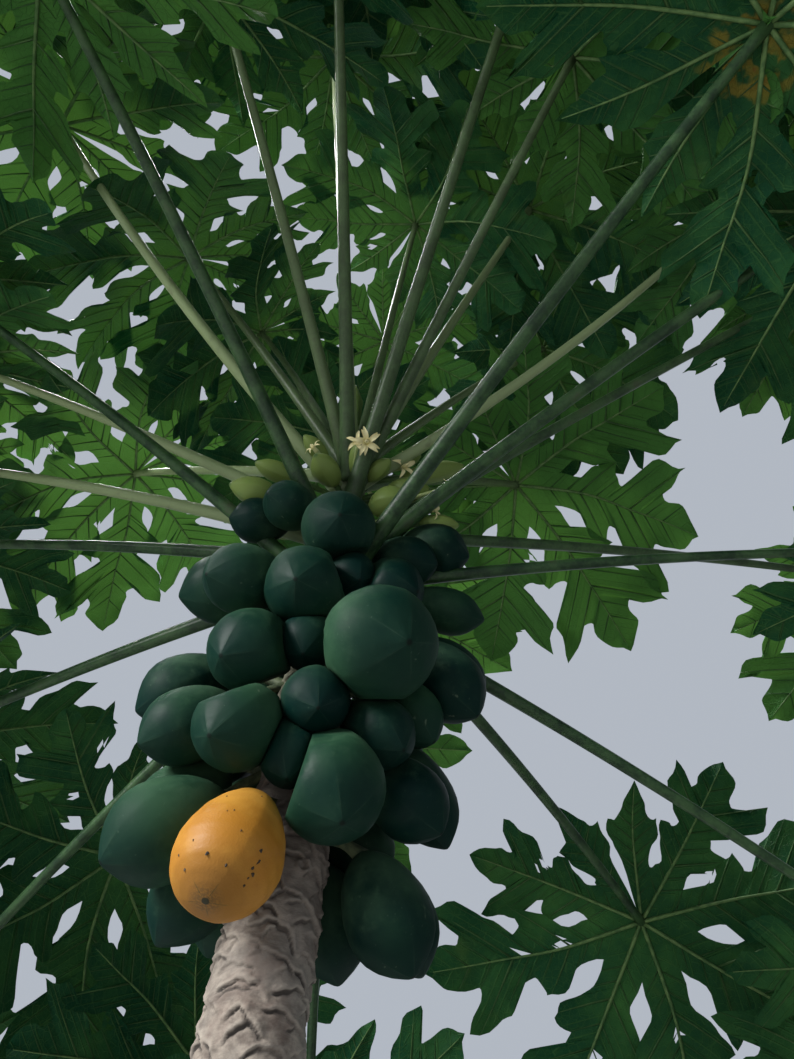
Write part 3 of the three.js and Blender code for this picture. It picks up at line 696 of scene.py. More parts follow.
# painted shade: the underside runs from dark to light with random patches and with the leaf's tone
leaf_colour = (patch * 0.85 + leaf_shade_and_tone * 0.55).ramp(0.38, 0.90).colour(UNDERSIDE_DARK, UNDERSIDE_LIGHT)
turned = leaf_skin.mark("turning", 2) * flat_place.noise(22.0, 3.0).ramp(0.38, 0.62)
leaf_colour = leaf_colour.coated(
    (YELLOWED, flat_place.noise(13.0, 3.0).ramp(0.60, 0.78) * 0.40),
    (VEIN_COLOUR, side_vein * 0.42),
    (VEIN_COLOUR, net * 0.34),
    (VEIN_COLOUR, fine_net * 0.16),
    ((0.20, 0.15, 0.020), turned.ramp(0.20, 0.60) * 0.7),
    ((0.15, 0.035, 0.012), turned.ramp(0.60, 0.90) * 0.5),
)
relief_of_leaf = side_vein * 0.9 + net * 0.5 + fine_net * 0.15
leaf_skin.set(
    Base_Color=leaf_colour,
    Specular_IOR_Level=0.07,
    Roughness=patch.ramp(0.3, 0.7) * 0.14 + 0.44,
    Normal=relief_of_leaf.bump(0.0016, 0.8),
)
see_through = leaf_skin.start.node("BsdfTranslucent", None, {"Color": SHINE_THROUGH})
# painted shade: leaves in shade also let less light through
see_through_share = leaf_shade_and_tone.ramp(0.0, 0.9) * 0.26 + 0.06
opaque = Shade(leaf_skin.tree, leaf_skin.shader.outputs[0])
thin_leaf = leaf_skin.start.node("MixShader", None, {0: see_through_share, 1: opaque, 2: see_through})
leaf_skin.tree.links.new(thin_leaf.socket, leaf_skin.tree.nodes["Material Output"].inputs["Surface"])

BLADE_PIECES = {
    "upper_blades": blades[UPPER_FROM:],
    "middle_blades": blades[MIDDLE_FROM:UPPER_FROM],
    "lower_blades": blades[:MIDDLE_FROM],
}
for name, members in BLADE_PIECES.items():
    pile = Pile()
    for blade in members:
        holes = HOLES_OLD if blade.number <= OLD_LEAVES else HOLES_YOUNG
        points, triangles, flat, vein = blade_mesh(blade, holes)
        from_spot = np.hypot(flat[:, 0] - TURNING_SPOT[0], flat[:, 1] - TURNING_SPOT[1])
        turning = np.exp(-((from_spot / TURNING_RADIUS) ** 2)) * (blade.number == TURNING_LEAF)
        pile.add(points, [triangles], flat=flat, vein=vein, turning=turning)
    nodes = [f"leaf_{blade.number:02d}" for blade in members]
    pile.piece(name, leaf_skin.material, "leaf_green", nodes)


# Ribs. Each lobe has one raised, pale main rib from the hub to its tip, and side ribs that run out to
# its margin, the strongest to its side lobes. They stand proud of the underside of the blade.
MAIN_RIB_RADIUS = 0.0036
MAIN_RIB_TIP = 0.0007
MAIN_RIB_ROWS = 13
SIDE_RIB_RADIUS = 0.0019
SIDE_RIB_TIP = 0.00035
RIB_SIDES = 6
SIDE_RIB_SIDES = 4
SIDE_RIB_FEET = [0.20, 0.30, 0.388, 0.50, 0.604, 0.709, 0.80, 0.90]  # as shares of the main rib
STRONG_SIDE_RIBS = (2, 5)  # those that run to the tips of the side lobes
SHORTEST_RIB = 0.02
main_ribs = Pile()
side_ribs = Pile()
for blade in blades:
    size = blade.radius / FULL_RADIUS
    for lobe, (_, rib_length) in enumerate(RIBS):
        along = np.linspace(0.0, 1.06, MAIN_RIB_ROWS) * rib_length
        taper = (1 - along / along[-1]) ** 0.8
        width = (MAIN_RIB_TIP + MAIN_RIB_RADIUS * taper * (0.6 + 0.4 * rib_length)) * size
        line, _ = blade.place(lobe, along, 0 * along, 0 * along, below=width * 0.75)
        points, faces, _ = tube(line, width, RIB_SIDES, blade.up)
        main_ribs.add(points, faces, pale=1.0)
        for side in (-1, 1):
            *half, feet = blade.half_lobe(lobe, side)
            for k, foot in enumerate(SIDE_RIB_FEET):
                row = int(np.argmin(np.abs(feet - foot * rib_length)))
                along, aside, share = (grid[row, ::2] for grid in half)
                strong = k in STRONG_SIDE_RIBS
                strength = 1.0 if strong else 0.6
                width = (SIDE_RIB_TIP + SIDE_RIB_RADIUS * strength * (1 - 0.9 * share)) * size
                line, _ = blade.place(lobe, along, aside, share, below=width * 0.6)
                if np.linalg.norm(line[0] - line[-1]) < SHORTEST_RIB:
                    continue
                points, faces, _ = tube(line, width, SIDE_RIB_SIDES, blade.up)
                side_ribs.add(points, faces, pale=0.35 if strong else 0.1)

rib_skin = Finish("papaya_rib")
rib_grain = rib_skin.place().noise(60.0, 3.0)
rib_colour = rib_grain.ramp(0.3, 0.7).colour((0.052, 0.112, 0.036), (0.120, 0.200, 0.068))
rib_colour = rib_colour.coated(((0.018, 0.060, 0.018), rib_skin.mark("pale", 2).ramp(1.0, 0.0) * 0.85))
rib_bump = rib_grain.bump(0.0006, 0.4)
rib_skin.set(Base_Color=rib_colour, Specular_IOR_Level=0.15, Roughness=0.5, Normal=rib_bump)
main_ribs.piece("main_leaf_ribs", rib_skin.material, "leaf_green")
side_ribs.piece("side_leaf_ribs", rib_skin.material, "leaf_green")


# Green fruit. Egg-shaped, pointed fruit with five faint ridges that meet in a star at the tip, dull and
# dark blue-green. They hang on short stalks straight from the trunk and press one another flat.
# for each bunch: direction, height, distance from the trunk's middle, diameter, length and dip
BUNCHES = {
    "ripe_fruit": [(254, 1.925, 0.132, 0.122, 0.176, 62)],
    "fruit_01": [(204, 1.978, 0.152, 0.124, 0.172, 40), (178, 2.05, 0.15, 0.104, 0.15, 44)],
    "fruit_02": [(165, 1.945, 0.116, 0.1, 0.15, 60), (128, 1.965, 0.134, 0.104, 0.15, 58)],
    "fruit_03": [(297, 2.01, 0.128, 0.13, 0.18, 58), (272, 2.062, 0.098, 0.084, 0.124, 66)],
    "fruit_04": [(0, 1.905, 0.134, 0.108, 0.16, 66), (30, 1.935, 0.168, 0.1, 0.156, 62)],
    "fruit_05": [(62, 1.935, 0.12, 0.1, 0.15, 66), (96, 1.955, 0.128, 0.104, 0.15, 60)],
    "fruit_06": [(352, 2.04, 0.15, 0.1, 0.14, 50), (18, 2.085, 0.176, 0.092, 0.164, 64)],
    "fruit_07": [(322, 2.098, 0.134, 0.092, 0.13, 46), (344, 2.155, 0.15, 0.084, 0.132, 58)],
    "fruit_08": [(244, 2.08, 0.14, 0.112, 0.15, 42), (282, 2.118, 0.124, 0.09, 0.126, 44)],
    "fruit_09": [(206, 2.116, 0.162, 0.102, 0.15, 40), (188, 2.2, 0.182, 0.106, 0.15, 34)],
    "fruit_10": [(238, 2.2, 0.136, 0.116, 0.15, 40), (268, 2.234, 0.096, 0.084, 0.124, 58)],
    "big_fruit": [(303, 2.18, 0.186, 0.154, 0.178, 34)],
    "fruit_11": [(354, 2.22, 0.194, 0.104, 0.156, 56), (12, 2.275, 0.204, 0.1, 0.15, 56)],
    "fruit_12": [(263, 2.304, 0.124, 0.12, 0.15, 34), (226, 2.328, 0.158, 0.106, 0.15, 28)],
    "fruit_13": [(190, 2.388, 0.168, 0.112, 0.15, 24), (160, 2.35, 0.146, 0.1, 0.14, 34)],
    "fruit_14": [(277, 2.424, 0.122, 0.116, 0.14, 30), (296, 2.366, 0.092, 0.076, 0.112, 50)],
    "fruit_15": [
        (324, 2.348, 0.12, 0.1, 0.136, 32), (344, 2.44, 0.122, 0.084, 0.12, 24),
        (356, 2.484, 0.164, 0.098, 0.126, 18), (6, 2.385, 0.186, 0.078, 0.14, 14),
    ],
    "fruit_16": [(232, 2.502, 0.12, 0.082, 0.112, 18), (203, 2.508, 0.142, 0.078, 0.108, 16)],
    "fruit_17": [(132, 2.06, 0.136, 0.11, 0.154, 54), (150, 2.18, 0.14, 0.108, 0.15, 46)],
    "fruit_18": [(56, 2.05, 0.136, 0.108, 0.154, 56), (94, 2.08, 0.132, 0.108, 0.15, 54)],
    "fruit_19": [(112, 2.205, 0.132, 0.11, 0.154, 48), (132, 2.32, 0.134, 0.106, 0.142, 36)],
    "fruit_20": [
        (38, 2.185, 0.136, 0.104, 0.15, 52), (74, 2.215, 0.132, 0.108, 0.15, 48),
        (56, 2.33, 0.134, 0.104, 0.142, 38),
    ],
    "fruit_21": [
        (96, 2.335, 0.13, 0.104, 0.14, 36), (80, 2.44, 0.122, 0.084, 0.118, 26),
        (130, 2.45, 0.12, 0.086, 0.118, 24),
    ],
}
FRUIT_PROFILE = [
    (0, 0.1), (0.02, 0.22), (0.06, 0.38), (0.12, 0.56), (0.22, 0.76), (0.36, 0.92), (0.48, 0.985),
    (0.58, 1.0), (0.68, 0.96), (0.77, 0.85), (0.85, 0.67), (0.91, 0.47), (0.95, 0.3),
    (0.975, 0.185), (0.99, 0.11), (1, 0.03),
]
FRUIT_ROWS = 32
FRUIT_SIDES = 50
FRUIT_RIDGES = 5
FRUIT_STALK_RADIUS = 0.010
FRUIT_STALK_ROWS = 9
FRUIT_STALK_SIDES = 10
FRUIT_STALK_BOW = 0.006
STALK_RISE = 0.014
PRESS_GAP = 0.0004


def square_to(way):
    """Two unit vectors square to a way and to each other, the first of them level."""
    side = np.cross(way, [0, 0, 1.0])
    side /= np.linalg.norm(side)
    return side, np.cross(side, way)


class Fruit:
    """One fruit: a turned skin round a slanting line, with five faint ridges."""

    def __init__(
        self, bunch, row, rows=FRUIT_ROWS, sides=FRUIT_SIDES, profile=FRUIT_PROFILE,
        ridges=0.008, facets=0.26, folds=0.045,
    ):
        direction, height, out, diameter, length, dip = row
        pick = random.Random(f"{bunch} {direction} {height}")
        middle = trunk_axis(height) + compass(direction) * out
        self.along = compass(direction, -dip)
        self.neck = middle - self.along * length / 2
        self.length = length
        self.radius = diameter / 2
        self.profile = profile
        self.line = self.neck + self.along * length * np.array([0.25, 0.4, 0.55, 0.7, 0.8])[:, None]
        side, up = square_to(self.along)
        share = 0.5 - 0.5 * np.cos(np.linspace(0, math.pi, rows))
        roll = pick.uniform(0, 6.28)
        around = np.arange(sides) * 2 * math.pi / sides
        around = roll + around - 0.15 * np.sin(FRUIT_RIDGES * around)  # the points lie closer on the ridges
        belly = np.sin(math.pi * share)[:, None] ** 0.5
        phase = (around - roll) * FRUIT_RIDGES / (2 * math.pi)
        from_ridge = np.abs(phase - np.round(phase))[None, :]  # 0 on a ridge and 0.5 halfway between two
        facet = math.cos(math.pi / FRUIT_RIDGES) / np.cos((0.5 - from_ridge) * 2 * math.pi / FRUIT_RIDGES)
        flat_share = (0.02 + facets * smoothstep(0.82, 0.98, share))[:, None]
        width = along_profile(profile, share)[:, None] * self.radius
        raised = ridges * np.exp(-((from_ridge / 0.08) ** 2)) * belly
        width = width * (1 + flat_share * (facet - 1)) * (1 + raised)
        width = width * (1 + 0.02 * belly * np.sin(around + pick.uniform(0, 6.28))[None, :])
        fold = np.exp(-(((from_ridge - 0.16) / 0.07) ** 2)) * smoothstep(0.86, 0.95, share)[:, None]
        width = width * (1 - folds * fold)  # the skin sinks a little beside each ridge near the tip
        sharp = np.exp(-((from_ridge / 0.022) ** 2))
        rings = (
            self.neck
            + (share * length)[:, None, None] * self.along
            + width[..., None] * (np.cos(around)[None, :, None] * side + np.sin(around)[None, :, None] * up)
        )
        self.points = np.concatenate([rings.reshape(-1, 3), [self.neck, self.neck + self.along * length]])
        self.faces = closed_faces(rows, sides)
        strength = 0.15 * smoothstep(0.4, 0.7, share) + 0.85 * smoothstep(0.84, 0.96, share)
        star = (sharp * strength[:, None]).ravel()
        tone = pick.random()
        self.skin = np.stack([
            np.concatenate([np.repeat(share, sides), [0, 1]]),
            np.concatenate([star, [0, 1]]),
            np.full(rows * sides + 2, tone),
        ], -1)

    def holds(self, points):
        """Whether any of these points lies inside this fruit."""
        offset = points - self.neck
        share = offset @ self.along / self.length
        away = np.linalg.norm(offset - (share * self.length)[:, None] * self.along, axis=1)
        width = along_profile(self.profile, share, left=0, right=0) * self.radius
        return bool(np.any(away < width))


def press_together(one, other):
    """Two fruits that meet are flattened against each other at the plane between their lines."""
    if not (one.holds(other.points) or other.holds(one.points)):
        return
    ways = other.line[None, :] - one.line[:, None]
    distance = np.linalg.norm(ways, axis=-1)
    nearest = np.unravel_index(distance.argmin(), distance.shape)
    normal = ways[nearest] / distance[nearest]
    plane = ((one.points @ normal).max() + (other.points @ normal).min()) / 2
    for fruit, toward in ((one, 1), (other, -1)):
        over = toward * (fruit.points @ normal - plane) + PRESS_GAP / 2
        fruit.points -= (toward * np.maximum(over, 0))[:, None] * normal


bunches = {name: [Fruit(name, row) for row in rows] for name, rows in BUNCHES.items()}
fruits = [fruit for bunch in bunches.values() for fruit in bunch]
for i, fruit in enumerate(fruits):
    for other in fruits[:i]:
        press_together(other, fruit)

green_fruit = Pile()
fruit_stalks = Pile()
for name, bunch in bunches.items():
    foot = np.mean([fruit.neck for fruit in bunch], axis=0)
    axis = trunk_axis(foot[2] + STALK_RISE)
    inward = (foot - axis) * [1, 1, 0]
    start = axis + inward / np.linalg.norm(inward) * trunk_radius(axis[2]) * 0.85
    for fruit in bunch:
        end = fruit.neck + fruit.along * fruit.length * 0.05
        share = np.linspace(0, 1, FRUIT_STALK_ROWS)[:, None]
        bow = np.array([0, 0, FRUIT_STALK_BOW]) * np.sin(math.pi * share)
        line = start * (1 - share) + end * share + bow
        pinch = 0.35 * np.sin(math.pi * share[:, 0])
        width = FRUIT_STALK_RADIUS * (1.0 - pinch + 0.25 * (share[:, 0] > 0.9))
        points, faces, _ = tube(line, width, FRUIT_STALK_SIDES, np.array([0.02, 0.03, 1.0]), flutes=0.08)
        fruit_stalks.add(points, faces)
        if name != "ripe_fruit":
            green_fruit.add(fruit.points, fruit.faces, skin=fruit.skin)

FRUIT_DEEP = (0.0012, 0.015, 0.012)
FRUIT_LIGHT = (0.020, 0.062, 0.030)
# a dusty bloom colour, also painted toward the neck as light on the fruit's upper end
FRUIT_BLOOM_AND_LIGHT = (0.062, 0.118, 0.068)
fruit_skin = Finish("green_papaya_skin")
fruit_mark = fruit_skin.mark("skin", 1)
fruit_share = fruit_mark.part(0)
fruit_star = fruit_mark.part(1)
fruit_tone = fruit_mark.part(2)
cloud = fruit_skin.place().noise(11.0, 5.0, 0.6)
dapple = fruit_skin.place().noise(60.0, 4.0, 0.6)
scratch = fruit_skin.place().stretched(1.0, 1.0, 0.25).noise(95.0, 2.0).ramp(0.70, 0.76)
speck = fruit_skin.place().cell_walls(150.0).ramp(0.42, 0.50)
fruit_shade = cloud * 0.8 + fruit_tone * 0.3 + dapple * 0.15
fruit_colour = fruit_shade.ramp(0.42, 0.88).colour(FRUIT_DEEP, FRUIT_LIGHT)
fruit_colour = fruit_colour.coated(
    (FRUIT_BLOOM_AND_LIGHT, dapple.ramp(0.52, 0.80) * 0.28),
    # partly bloom, partly painted light: paler toward the neck, the upper end
    (FRUIT_BLOOM_AND_LIGHT, fruit_share.ramp(0.80, 0.25) * cloud.ramp(0.35, 0.65) * 0.40),
    # painted shade: darker toward the tip, which hangs lowest
    (FRUIT_DEEP, fruit_share.ramp(0.52, 0.92) * 0.72),
    # painted highlight: pale lines along the ridges near the tip
    ((0.060, 0.110, 0.070), fruit_star * 0.18),
    ((0.004, 0.008, 0.006), fruit_share.ramp(0.993, 1.0) * 0.85),
    ((0.20, 0.26, 0.17), scratch * cloud.ramp(0.50, 0.62) * 0.30),
    ((0.07, 0.12, 0.08), speck * 0.25),
)
fruit_skin.set(
    Base_Color=fruit_colour,
    Specular_IOR_Level=0.09,
    Roughness=cloud.ramp(0.35, 0.65) * 0.16 + 0.46,
    Normal=(dapple * 0.8 + fruit_star * 0.3).bump(0.0012, 0.5),
)
green_nodes = sorted(set(BUNCHES) - {"ripe_fruit"})
green_fruit.piece("green_fruit", fruit_skin.material, "green_skin", green_nodes)

fruit_stalk_skin = Finish("fruit_stalk_skin")
stalk_noise = fruit_stalk_skin.place().noise(80.0, 4.0)
fruit_stalk_skin.set(
    Base_Color=stalk_noise.ramp(0.35, 0.65).colour((0.045, 0.065, 0.035), (0.120, 0.150, 0.075)),
    Roughness=0.6,
    Normal=stalk_noise.bump(0.001, 0.6),
)
fruit_stalks.piece("fruit_stalks", fruit_stalk_skin.material, "green_skin")


# Ripe fruit. The one fruit that has turned, orange and yellow at its shoulder and darker and browner toward
# its tip, which hangs lowest: partly its own colour and partly painted shade. It has a faint dark star
# there, a row of small black scabs down one side and a few more over the rest.
SCABS = [
    (0.755, 72, 2.5), (0.8, 74, 2.0), (0.82, 75, 1.2), (0.845, 77, 2.3), (0.868, 79, 2.8),
    (0.885, 81, 1.3), (0.915, 86, 1.7), (0.895, 14, 2.8), (0.915, 44, 2.0), (0.925, -30, 1.9),
    (0.85, -38, 1.5), (0.815, -12, 1.2), (0.73, 38, 1.2), (0.61, 24, 1.3), (0.63, 18, 1.0),
    (0.43, 6, 1.3), (0.3, 42, 1.4),
]  # share of the length, degrees round from the front, and radius in millimetres
MILLIMETRE = 0.001
SCAB_CORNERS = 12
SCAB_SUNK = 0.0008
SCAB_PROUD = (0.0007, 0.0009)  # its shoulder and its middle stand this far out
RIPE_PROFILE = [
    (0, 0.12), (0.02, 0.24), (0.06, 0.38), (0.14, 0.55), (0.27, 0.745), (0.42, 0.905), (0.55, 0.98),
    (0.63, 1.0), (0.72, 0.965), (0.81, 0.875), (0.88, 0.74), (0.94, 0.54), (0.975, 0.34),
    (0.99, 0.2), (1, 0.06),
]
RIPE_ROWS = 80
RIPE_SIDES = 96
ripe = Fruit(
    "ripe_fruit", BUNCHES["ripe_fruit"][0], RIPE_ROWS, RIPE_SIDES, RIPE_PROFILE,
    ridges=0.004, facets=0.08, folds=0.0,
)
for other in fruits[1:]:
    press_together(ripe, other)
ripe_pile = Pile()
ripe_pile.add(ripe.points, ripe.faces, skin=ripe.skin)
ripe_skin = Finish("ripe_papaya_skin")
ripe_mark = ripe_skin.mark("skin", 1)
ripe_share = ripe_mark.part(0)
ripe_star = ripe_mark.part(1)
ripe_cloud = ripe_skin.place().noise(16.0, 4.0, 0.55)
pores = ripe_skin.place().noise(420.0, 2.0)
ripe_patch = (ripe_cloud - ripe_share * 0.25).ramp(0.18, 0.52)
ripe_colour = ripe_patch.colour((0.35, 0.148, 0.016), (0.46, 0.225, 0.032))
freckles = ripe_skin.place().cell_walls(170.0).ramp(0.44, 0.50)
ripe_colour = ripe_colour.coated(
    ((0.40, 0.165, 0.022), ripe_cloud.ramp(0.52, 0.70) * 0.5),
    ((0.20, 0.085, 0.015), freckles * ripe_cloud.ramp(0.40, 0.60) * 0.5),
    # partly the skin's own brown, partly painted shade: darker toward the tip, which hangs lowest
    ((0.175, 0.082, 0.015), ripe_share.ramp(0.82, 0.99) * 0.70),
    ((0.090, 0.052, 0.014), ripe_share.ramp(0.970, 0.998) * pores.ramp(0.35, 0.60) * 0.7),
    ((0.050, 0.048, 0.010), ripe_star * ripe_share.ramp(0.962, 0.990) * 0.9),
    ((0.020, 0.020, 0.007), ripe_share.ramp(0.9985, 0.9999) * 0.95),
)
ripe_skin.set(
    Base_Color=ripe_colour,
    Specular_IOR_Level=0.22,
    Roughness=ripe_cloud.ramp(0.3, 0.7) * 0.12 + 0.46,
    Normal=(pores + ripe_cloud * 0.6).bump(0.0006, 0.45),
)
ripe_pile.piece("ripe_papaya", ripe_skin.material, "ripe_skin", ["ripe_fruit"])

scabs = Pile()
_, front = square_to(ripe.along)
front = -front if front[1] > 0 else front
side = np.cross(front, ripe.along)
ripe_rings = ripe.points[:-2].reshape(RIPE_ROWS, RIPE_SIDES, 3)
for share, degrees, size in SCABS:
    way = front * math.cos(math.radians(degrees)) + side * math.sin(math.radians(degrees))
    centre = ripe.neck + ripe.along * ripe.length * share
    toward = ripe_rings - centre
    aim = (toward @ way) / np.linalg.norm(toward, axis=-1)
    row, column = np.unravel_index(aim.argmax(), aim.shape)
    spot = ripe_rings[row, column]
    normal = way / np.linalg.norm(way)
    first = np.cross(normal, ripe.along)
    first /= np.linalg.norm(first)
    second = np.cross(normal, first)
    around = np.arange(SCAB_CORNERS) * 2 * math.pi / SCAB_CORNERS
    ragged = 1 + 0.22 * np.sin(3 * around + degrees)
    across = (ragged * 0.8 * np.cos(around))[:, None] * first
    down = (ragged * 1.25 * np.sin(around))[:, None] * second
    rim = spot + size * MILLIMETRE * (across + down)
    sunk = rim - normal * SCAB_SUNK
    shoulder = rim * 0.5 + spot * 0.5 + normal * SCAB_PROUD[0]
    points = np.concatenate([sunk, shoulder, [spot + normal * SCAB_PROUD[1]]])
    top = cap_faces(SCAB_CORNERS, SCAB_CORNERS, 2 * SCAB_CORNERS, upward=True)
    scabs.add(points, [grid_faces(2, SCAB_CORNERS), top])
scab_skin = Finish("scab")
scab_noise = scab_skin.place().noise(300.0, 3.0)
scab_skin.set(
    Base_Color=scab_noise.ramp(0.3, 0.7).colour((0.012, 0.009, 0.006), (0.060, 0.035, 0.015)),
    Roughness=0.8,
    Normal=scab_noise.bump(0.0008, 0.6),
)
scabs.piece("ripe_papaya_scabs", scab_skin.material, "ripe_skin")


# Growing tip. A short green dome with the youngest leaves folded round it, and below it, among the feet
# of the stalks, the youngest fruit and the pale flowers that come before them.
# direction, rise, length and greatest radius
FOLDED_LEAVES = [(20, 78, 0.230, 0.020), (140, 68, 0.200, 0.017), (262, 74, 0.170, 0.015)]
FOLDED_PROFILE = [(0, 0.5), (0.45, 0.6), (0.75, 1), (0.95, 0.4), (1, 0.08)]
FOLDED_ROWS = 30
FOLDED_SIDES = 20
DOME_HEIGHT = 0.06
DOME_ROWS = 14
DOME_SIDES = 28
tip = Pile()
tip_foot = trunk_axis(TRUNK_HEIGHT - 0.005)
dome_share = np.linspace(0, 1, DOME_ROWS)
dome_line = tip_foot + (trunk_axis(TRUNK_HEIGHT + DOME_HEIGHT) - tip_foot) * dome_share[:, None]
dome_width = trunk_radius(TRUNK_HEIGHT) * np.sqrt(np.clip(1.02 - dome_share**2.4, 0.01, 1))
points, faces, _ = tube(dome_line, dome_width, DOME_SIDES, np.array([0, 1.0, 0]), flutes=0.06)
tip.add(points, faces, paleness=0.55)
for direction, rise, length, greatest in FOLDED_LEAVES:
    share = np.linspace(0, 1, FOLDED_ROWS)
    width = along_profile(FOLDED_PROFILE, share) * greatest
    line = tip_foot + compass(direction, rise) * (length * share)[:, None]
    points, faces, along = tube(line, width, FOLDED_SIDES, np.array([1.0, 0, 0]), flutes=0.16)
    tip.add(points, faces, paleness=0.35 + 0.4 * along)

# direction, height, distance from the trunk's middle, diameter, length and dip
YOUNG_FRUITS = [
    (346, 2.611, 0.116, 0.052, 0.082, 12), (332, 2.565, 0.094, 0.056, 0.078, 10),
    (356, 2.68, 0.156, 0.04, 0.118, -14), (206, 2.56, 0.165, 0.05, 0.092, 4),
    (206, 2.625, 0.14, 0.038, 0.08, -4), (246, 2.611, 0.084, 0.048, 0.078, 6),
    (229, 2.673, 0.094, 0.032, 0.064, -18), (286, 2.663, 0.064, 0.034, 0.072, -30),
    (350, 2.7, 0.108, 0.024, 0.056, -30), (318, 2.64, 0.076, 0.034, 0.06, -10),
    (356, 2.545, 0.172, 0.036, 0.07, 8), (60, 2.56, 0.11, 0.052, 0.085, 10),
    (110, 2.6, 0.1, 0.044, 0.075, 4), (160, 2.59, 0.11, 0.048, 0.08, 6),
    (30, 2.64, 0.105, 0.04, 0.07, -6),
]
YOUNG_PROFILE = [
    (0, 0.3), (0.05, 0.52), (0.15, 0.74), (0.3, 0.93), (0.45, 1.0), (0.6, 0.97), (0.74, 0.82),
    (0.86, 0.56), (0.93, 0.34), (0.97, 0.22), (1, 0.05),
]
YOUNG_ROWS = 24
YOUNG_SIDES = 30
YOUNG_STALK_RADIUS = 0.0055
YOUNG_STALK_ROWS = 8
for row in YOUNG_FRUITS:
    young = Fruit("young", row, YOUNG_ROWS, YOUNG_SIDES, YOUNG_PROFILE, ridges=0.045)
    share = young.skin[:, 0]
    young_paleness = 1.15 - 7 * young.radius + 0.3 * share - 0.9 * smoothstep(0.93, 1, share)
    tip.add(young.points, young.faces, paleness=np.clip(young_paleness, 0, 1))
    start = trunk_axis(young.neck[2] - 0.008)
    share = np.linspace(0, 1, YOUNG_STALK_ROWS)[:, None]
    line = start * (1 - share) + (young.neck + young.along * 0.006) * share
    width = np.full(YOUNG_STALK_ROWS, YOUNG_STALK_RADIUS)
    points, faces, _ = tube(line, width, 9, np.array([0.03, 0.02, 1.0]))
    tip.add(points, faces, paleness=0.4)

tip_skin = Finish("young_green_skin")
tip_paleness = tip_skin.mark("paleness", 2)
tip_noise = tip_skin.place().noise(45.0, 4.0)
tip_patch = (tip_paleness + tip_noise * 0.3).ramp(0.15, 1.25)
tip_colour = tip_patch.colour((0.020, 0.075, 0.032), (0.170, 0.240, 0.060))
tip_colour = tip_colour.coated(((0.10, 0.19, 0.06), tip_noise.ramp(0.55, 0.75) * 0.4))
tip_bump = tip_noise.bump(0.0008, 0.4)
tip_skin.set(Base_Color=tip_colour, Specular_IOR_Level=0.2, Roughness=0.45, Normal=tip_bump)
tip.piece("growing_tip_and_young_fruit", tip_skin.material, "young_green", ["growing_tip"])

# direction, height, distance from the trunk's middle, the way it faces (direction and rise) and size
FLOWERS = [
    (288, 2.645, 0.113, 276, -45, 0.027), (289, 2.646, 0.112, 276, -45, 0.024),
    (281, 2.648, 0.104, 255, -24, 0.022), (343, 2.672, 0.1, 312, -24, 0.028),
    (349, 2.56, 0.16, 335, -10, 0.02), (344, 2.59, 0.182, 350, 12, 0.018),
    (240, 2.64, 0.11, 232, 10, 0.018), (120, 2.66, 0.09, 120, 10, 0.02),
    (60, 2.7, 0.085, 60, 20, 0.018),
]
PETALS = 5
PETAL_ROWS = 10
PETAL_COLUMNS = 5
BUD_ROWS = 9
BUD_RADIUS = 0.0042
flowers = Pile()
for direction, height_of_flower, out, facing, rise, size in FLOWERS:
    centre = trunk_axis(height_of_flower) + compass(direction) * out
    way = compass(facing, rise)
    side, up = square_to(way)
    share = np.linspace(0, 1, 8)[:, None]
    line = trunk_axis(height_of_flower - 0.01) * (1 - share) + (centre - way * 0.004) * share
    width = 0.0028 + 0.0022 * share[:, 0] ** 3
    points, faces, _ = tube(line, width, 8, np.array([0.02, 0.01, 1.0]))
    flowers.add(points, faces, green=1.0)
    bud = centre + way * np.linspace(-0.004, size * 0.75, BUD_ROWS)[:, None]
    bud_width = BUD_RADIUS * np.sqrt(np.clip(1.02 - np.linspace(0, 1, BUD_ROWS) ** 2, 0.03, 1))
    points, faces, along = tube(bud, bud_width, 9, up)
    flowers.add(points, faces, green=0.6 * (1 - along))
    for k in range(PETALS):
        bearing = k * 2 * math.pi / PETALS + direction
        outward = side * math.cos(bearing) + up * math.sin(bearing)
        beside = np.cross(way, outward)
        run = np.linspace(0, 1, PETAL_ROWS)[:, None, None]
        wide = np.linspace(-1, 1, PETAL_COLUMNS)[None, :, None]
        spread_of_petal = np.sin(math.pi * np.clip(0.12 + 0.86 * run, 0, 1)) ** 0.7
        petal = (
            centre
            + way * size * (0.55 * np.sin(1.9 * run) - 0.25 * run**3)
            + outward * size * (0.12 + 0.88 * run**1.5)
            + beside * size * (0.17 * wide * spread_of_petal + 0.18 * run**2)
            + way * size * 0.06 * wide**2
        )
        foot_green = np.broadcast_to(1 - run[:, :, 0], (PETAL_ROWS, PETAL_COLUMNS)).ravel()
        flowers.add(petal, [grid_faces(PETAL_ROWS, PETAL_COLUMNS, closed=False)], green=0.10 * foot_green)
flower_skin = Finish("flower_petal")
flower_green = flower_skin.mark("green", 2)
flower_noise = flower_skin.place().noise(140.0, 2.0)
flower_colour = flower_green.colour((0.84, 0.76, 0.42), (0.30, 0.38, 0.14))
flower_colour = flower_colour.coated(((0.66, 0.55, 0.24), flower_noise.ramp(0.55, 0.75) * 0.35))
flower_skin.set(Base_Color=flower_colour, Roughness=0.55, Normal=flower_noise.bump(0.0006, 0.3))
flowers.piece("flowers", flower_skin.material, "young_green")


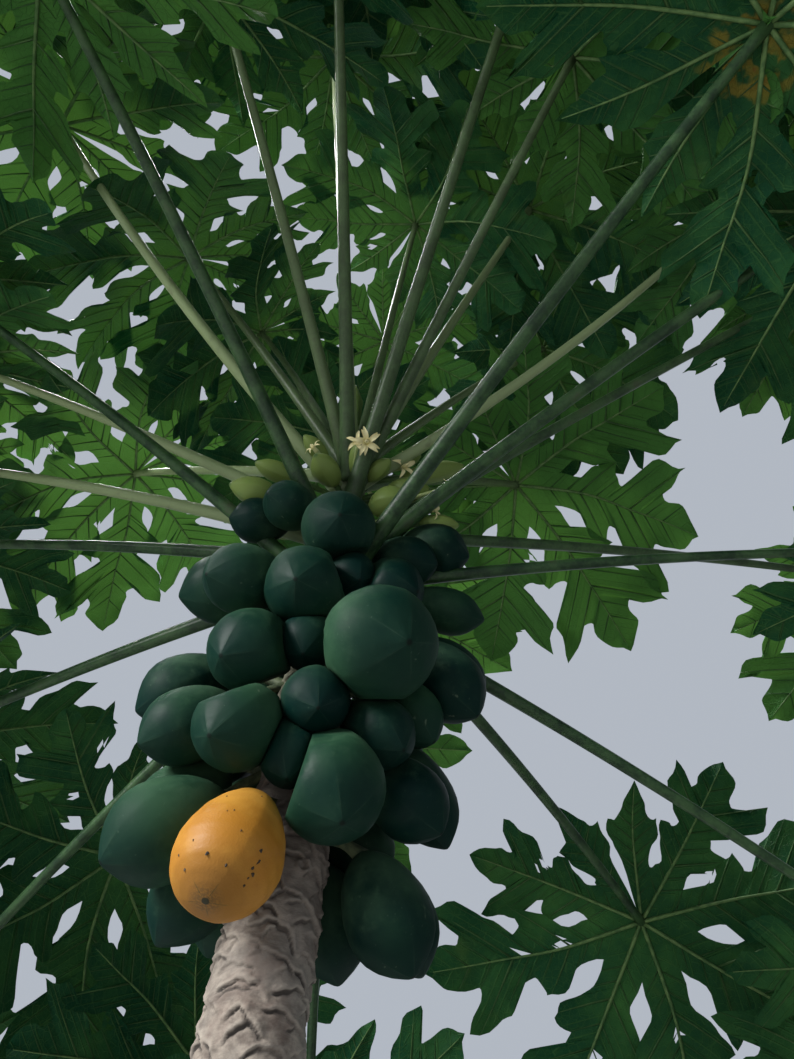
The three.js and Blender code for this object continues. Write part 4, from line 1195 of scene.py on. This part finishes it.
# Studio. A plain pale floor, a plain pale surround, one large soft light above the crown, and a smaller
# one high on the left in front. The view looks 48 degrees up from beside the trunk.
FLOOR_HALF = 9
FLOOR_LEVEL = -0.0006  # just under the trunk's cut
LOOKING_UP = 48
PICTURE_HEIGHT = 1059
FOCAL_LENGTH = 796  # in the picture's pixels
SENSOR_HEIGHT = 36
floor_mesh = bpy.data.meshes.new("floor")
corner_signs = [(-1, -1), (1, -1), (1, 1), (-1, 1)]
floor_corners = [(x * FLOOR_HALF, y * FLOOR_HALF, FLOOR_LEVEL) for x, y in corner_signs]
floor_mesh.from_pydata(floor_corners, [], [(0, 1, 2, 3)])
floor = bpy.data.objects.new("floor", floor_mesh)
bpy.context.scene.collection.objects.link(floor)
floor_skin = Finish("pale_floor")
floor_skin.set(Base_Color=(0.32, 0.316, 0.308), Roughness=0.9)
floor_mesh.materials.append(floor_skin.material)

world = bpy.data.worlds.new("pale_surround")
world.use_nodes = True
surround = world.node_tree.nodes["Background"].inputs
surround["Color"].default_value = (0.82, 0.89, 1.00, 1)
surround["Strength"].default_value = 0.54
bpy.context.scene.world = world


def soft_light(name, place, target, size, power):
    light = bpy.data.lights.new(name, "AREA")
    light.shape = "DISK"
    light.size = size
    light.energy = power
    lamp = bpy.data.objects.new(name, light)
    lamp.location = place
    way = np.array(target) - np.array(place)
    down = math.acos(-way[2] / np.linalg.norm(way))
    lamp.rotation_euler = (down, 0, math.atan2(way[0], -way[1]) + math.pi)
    bpy.context.scene.collection.objects.link(lamp)


soft_light("light_above", (-1.3, 0.3, 6.3), (0.1, 0, 2.6), 2.4, 800)
soft_light("light_at_left", (-3.4, -2.8, 4.0), (0.1, 0, 2.1), 2.0, 450)

camera = bpy.data.objects.new("camera", bpy.data.cameras.new("camera"))
camera.location = (0.30, -1.02, 1.50)
camera.rotation_euler = (math.radians(90 + LOOKING_UP), 0, 0)
camera.data.sensor_fit = "VERTICAL"
camera.data.sensor_height = SENSOR_HEIGHT
camera.data.lens = SENSOR_HEIGHT * FOCAL_LENGTH / PICTURE_HEIGHT
camera.data.clip_start = 0.02
bpy.context.scene.collection.objects.link(camera)
bpy.context.scene.camera = camera
bpy.context.scene.view_settings.view_transform = "Standard"
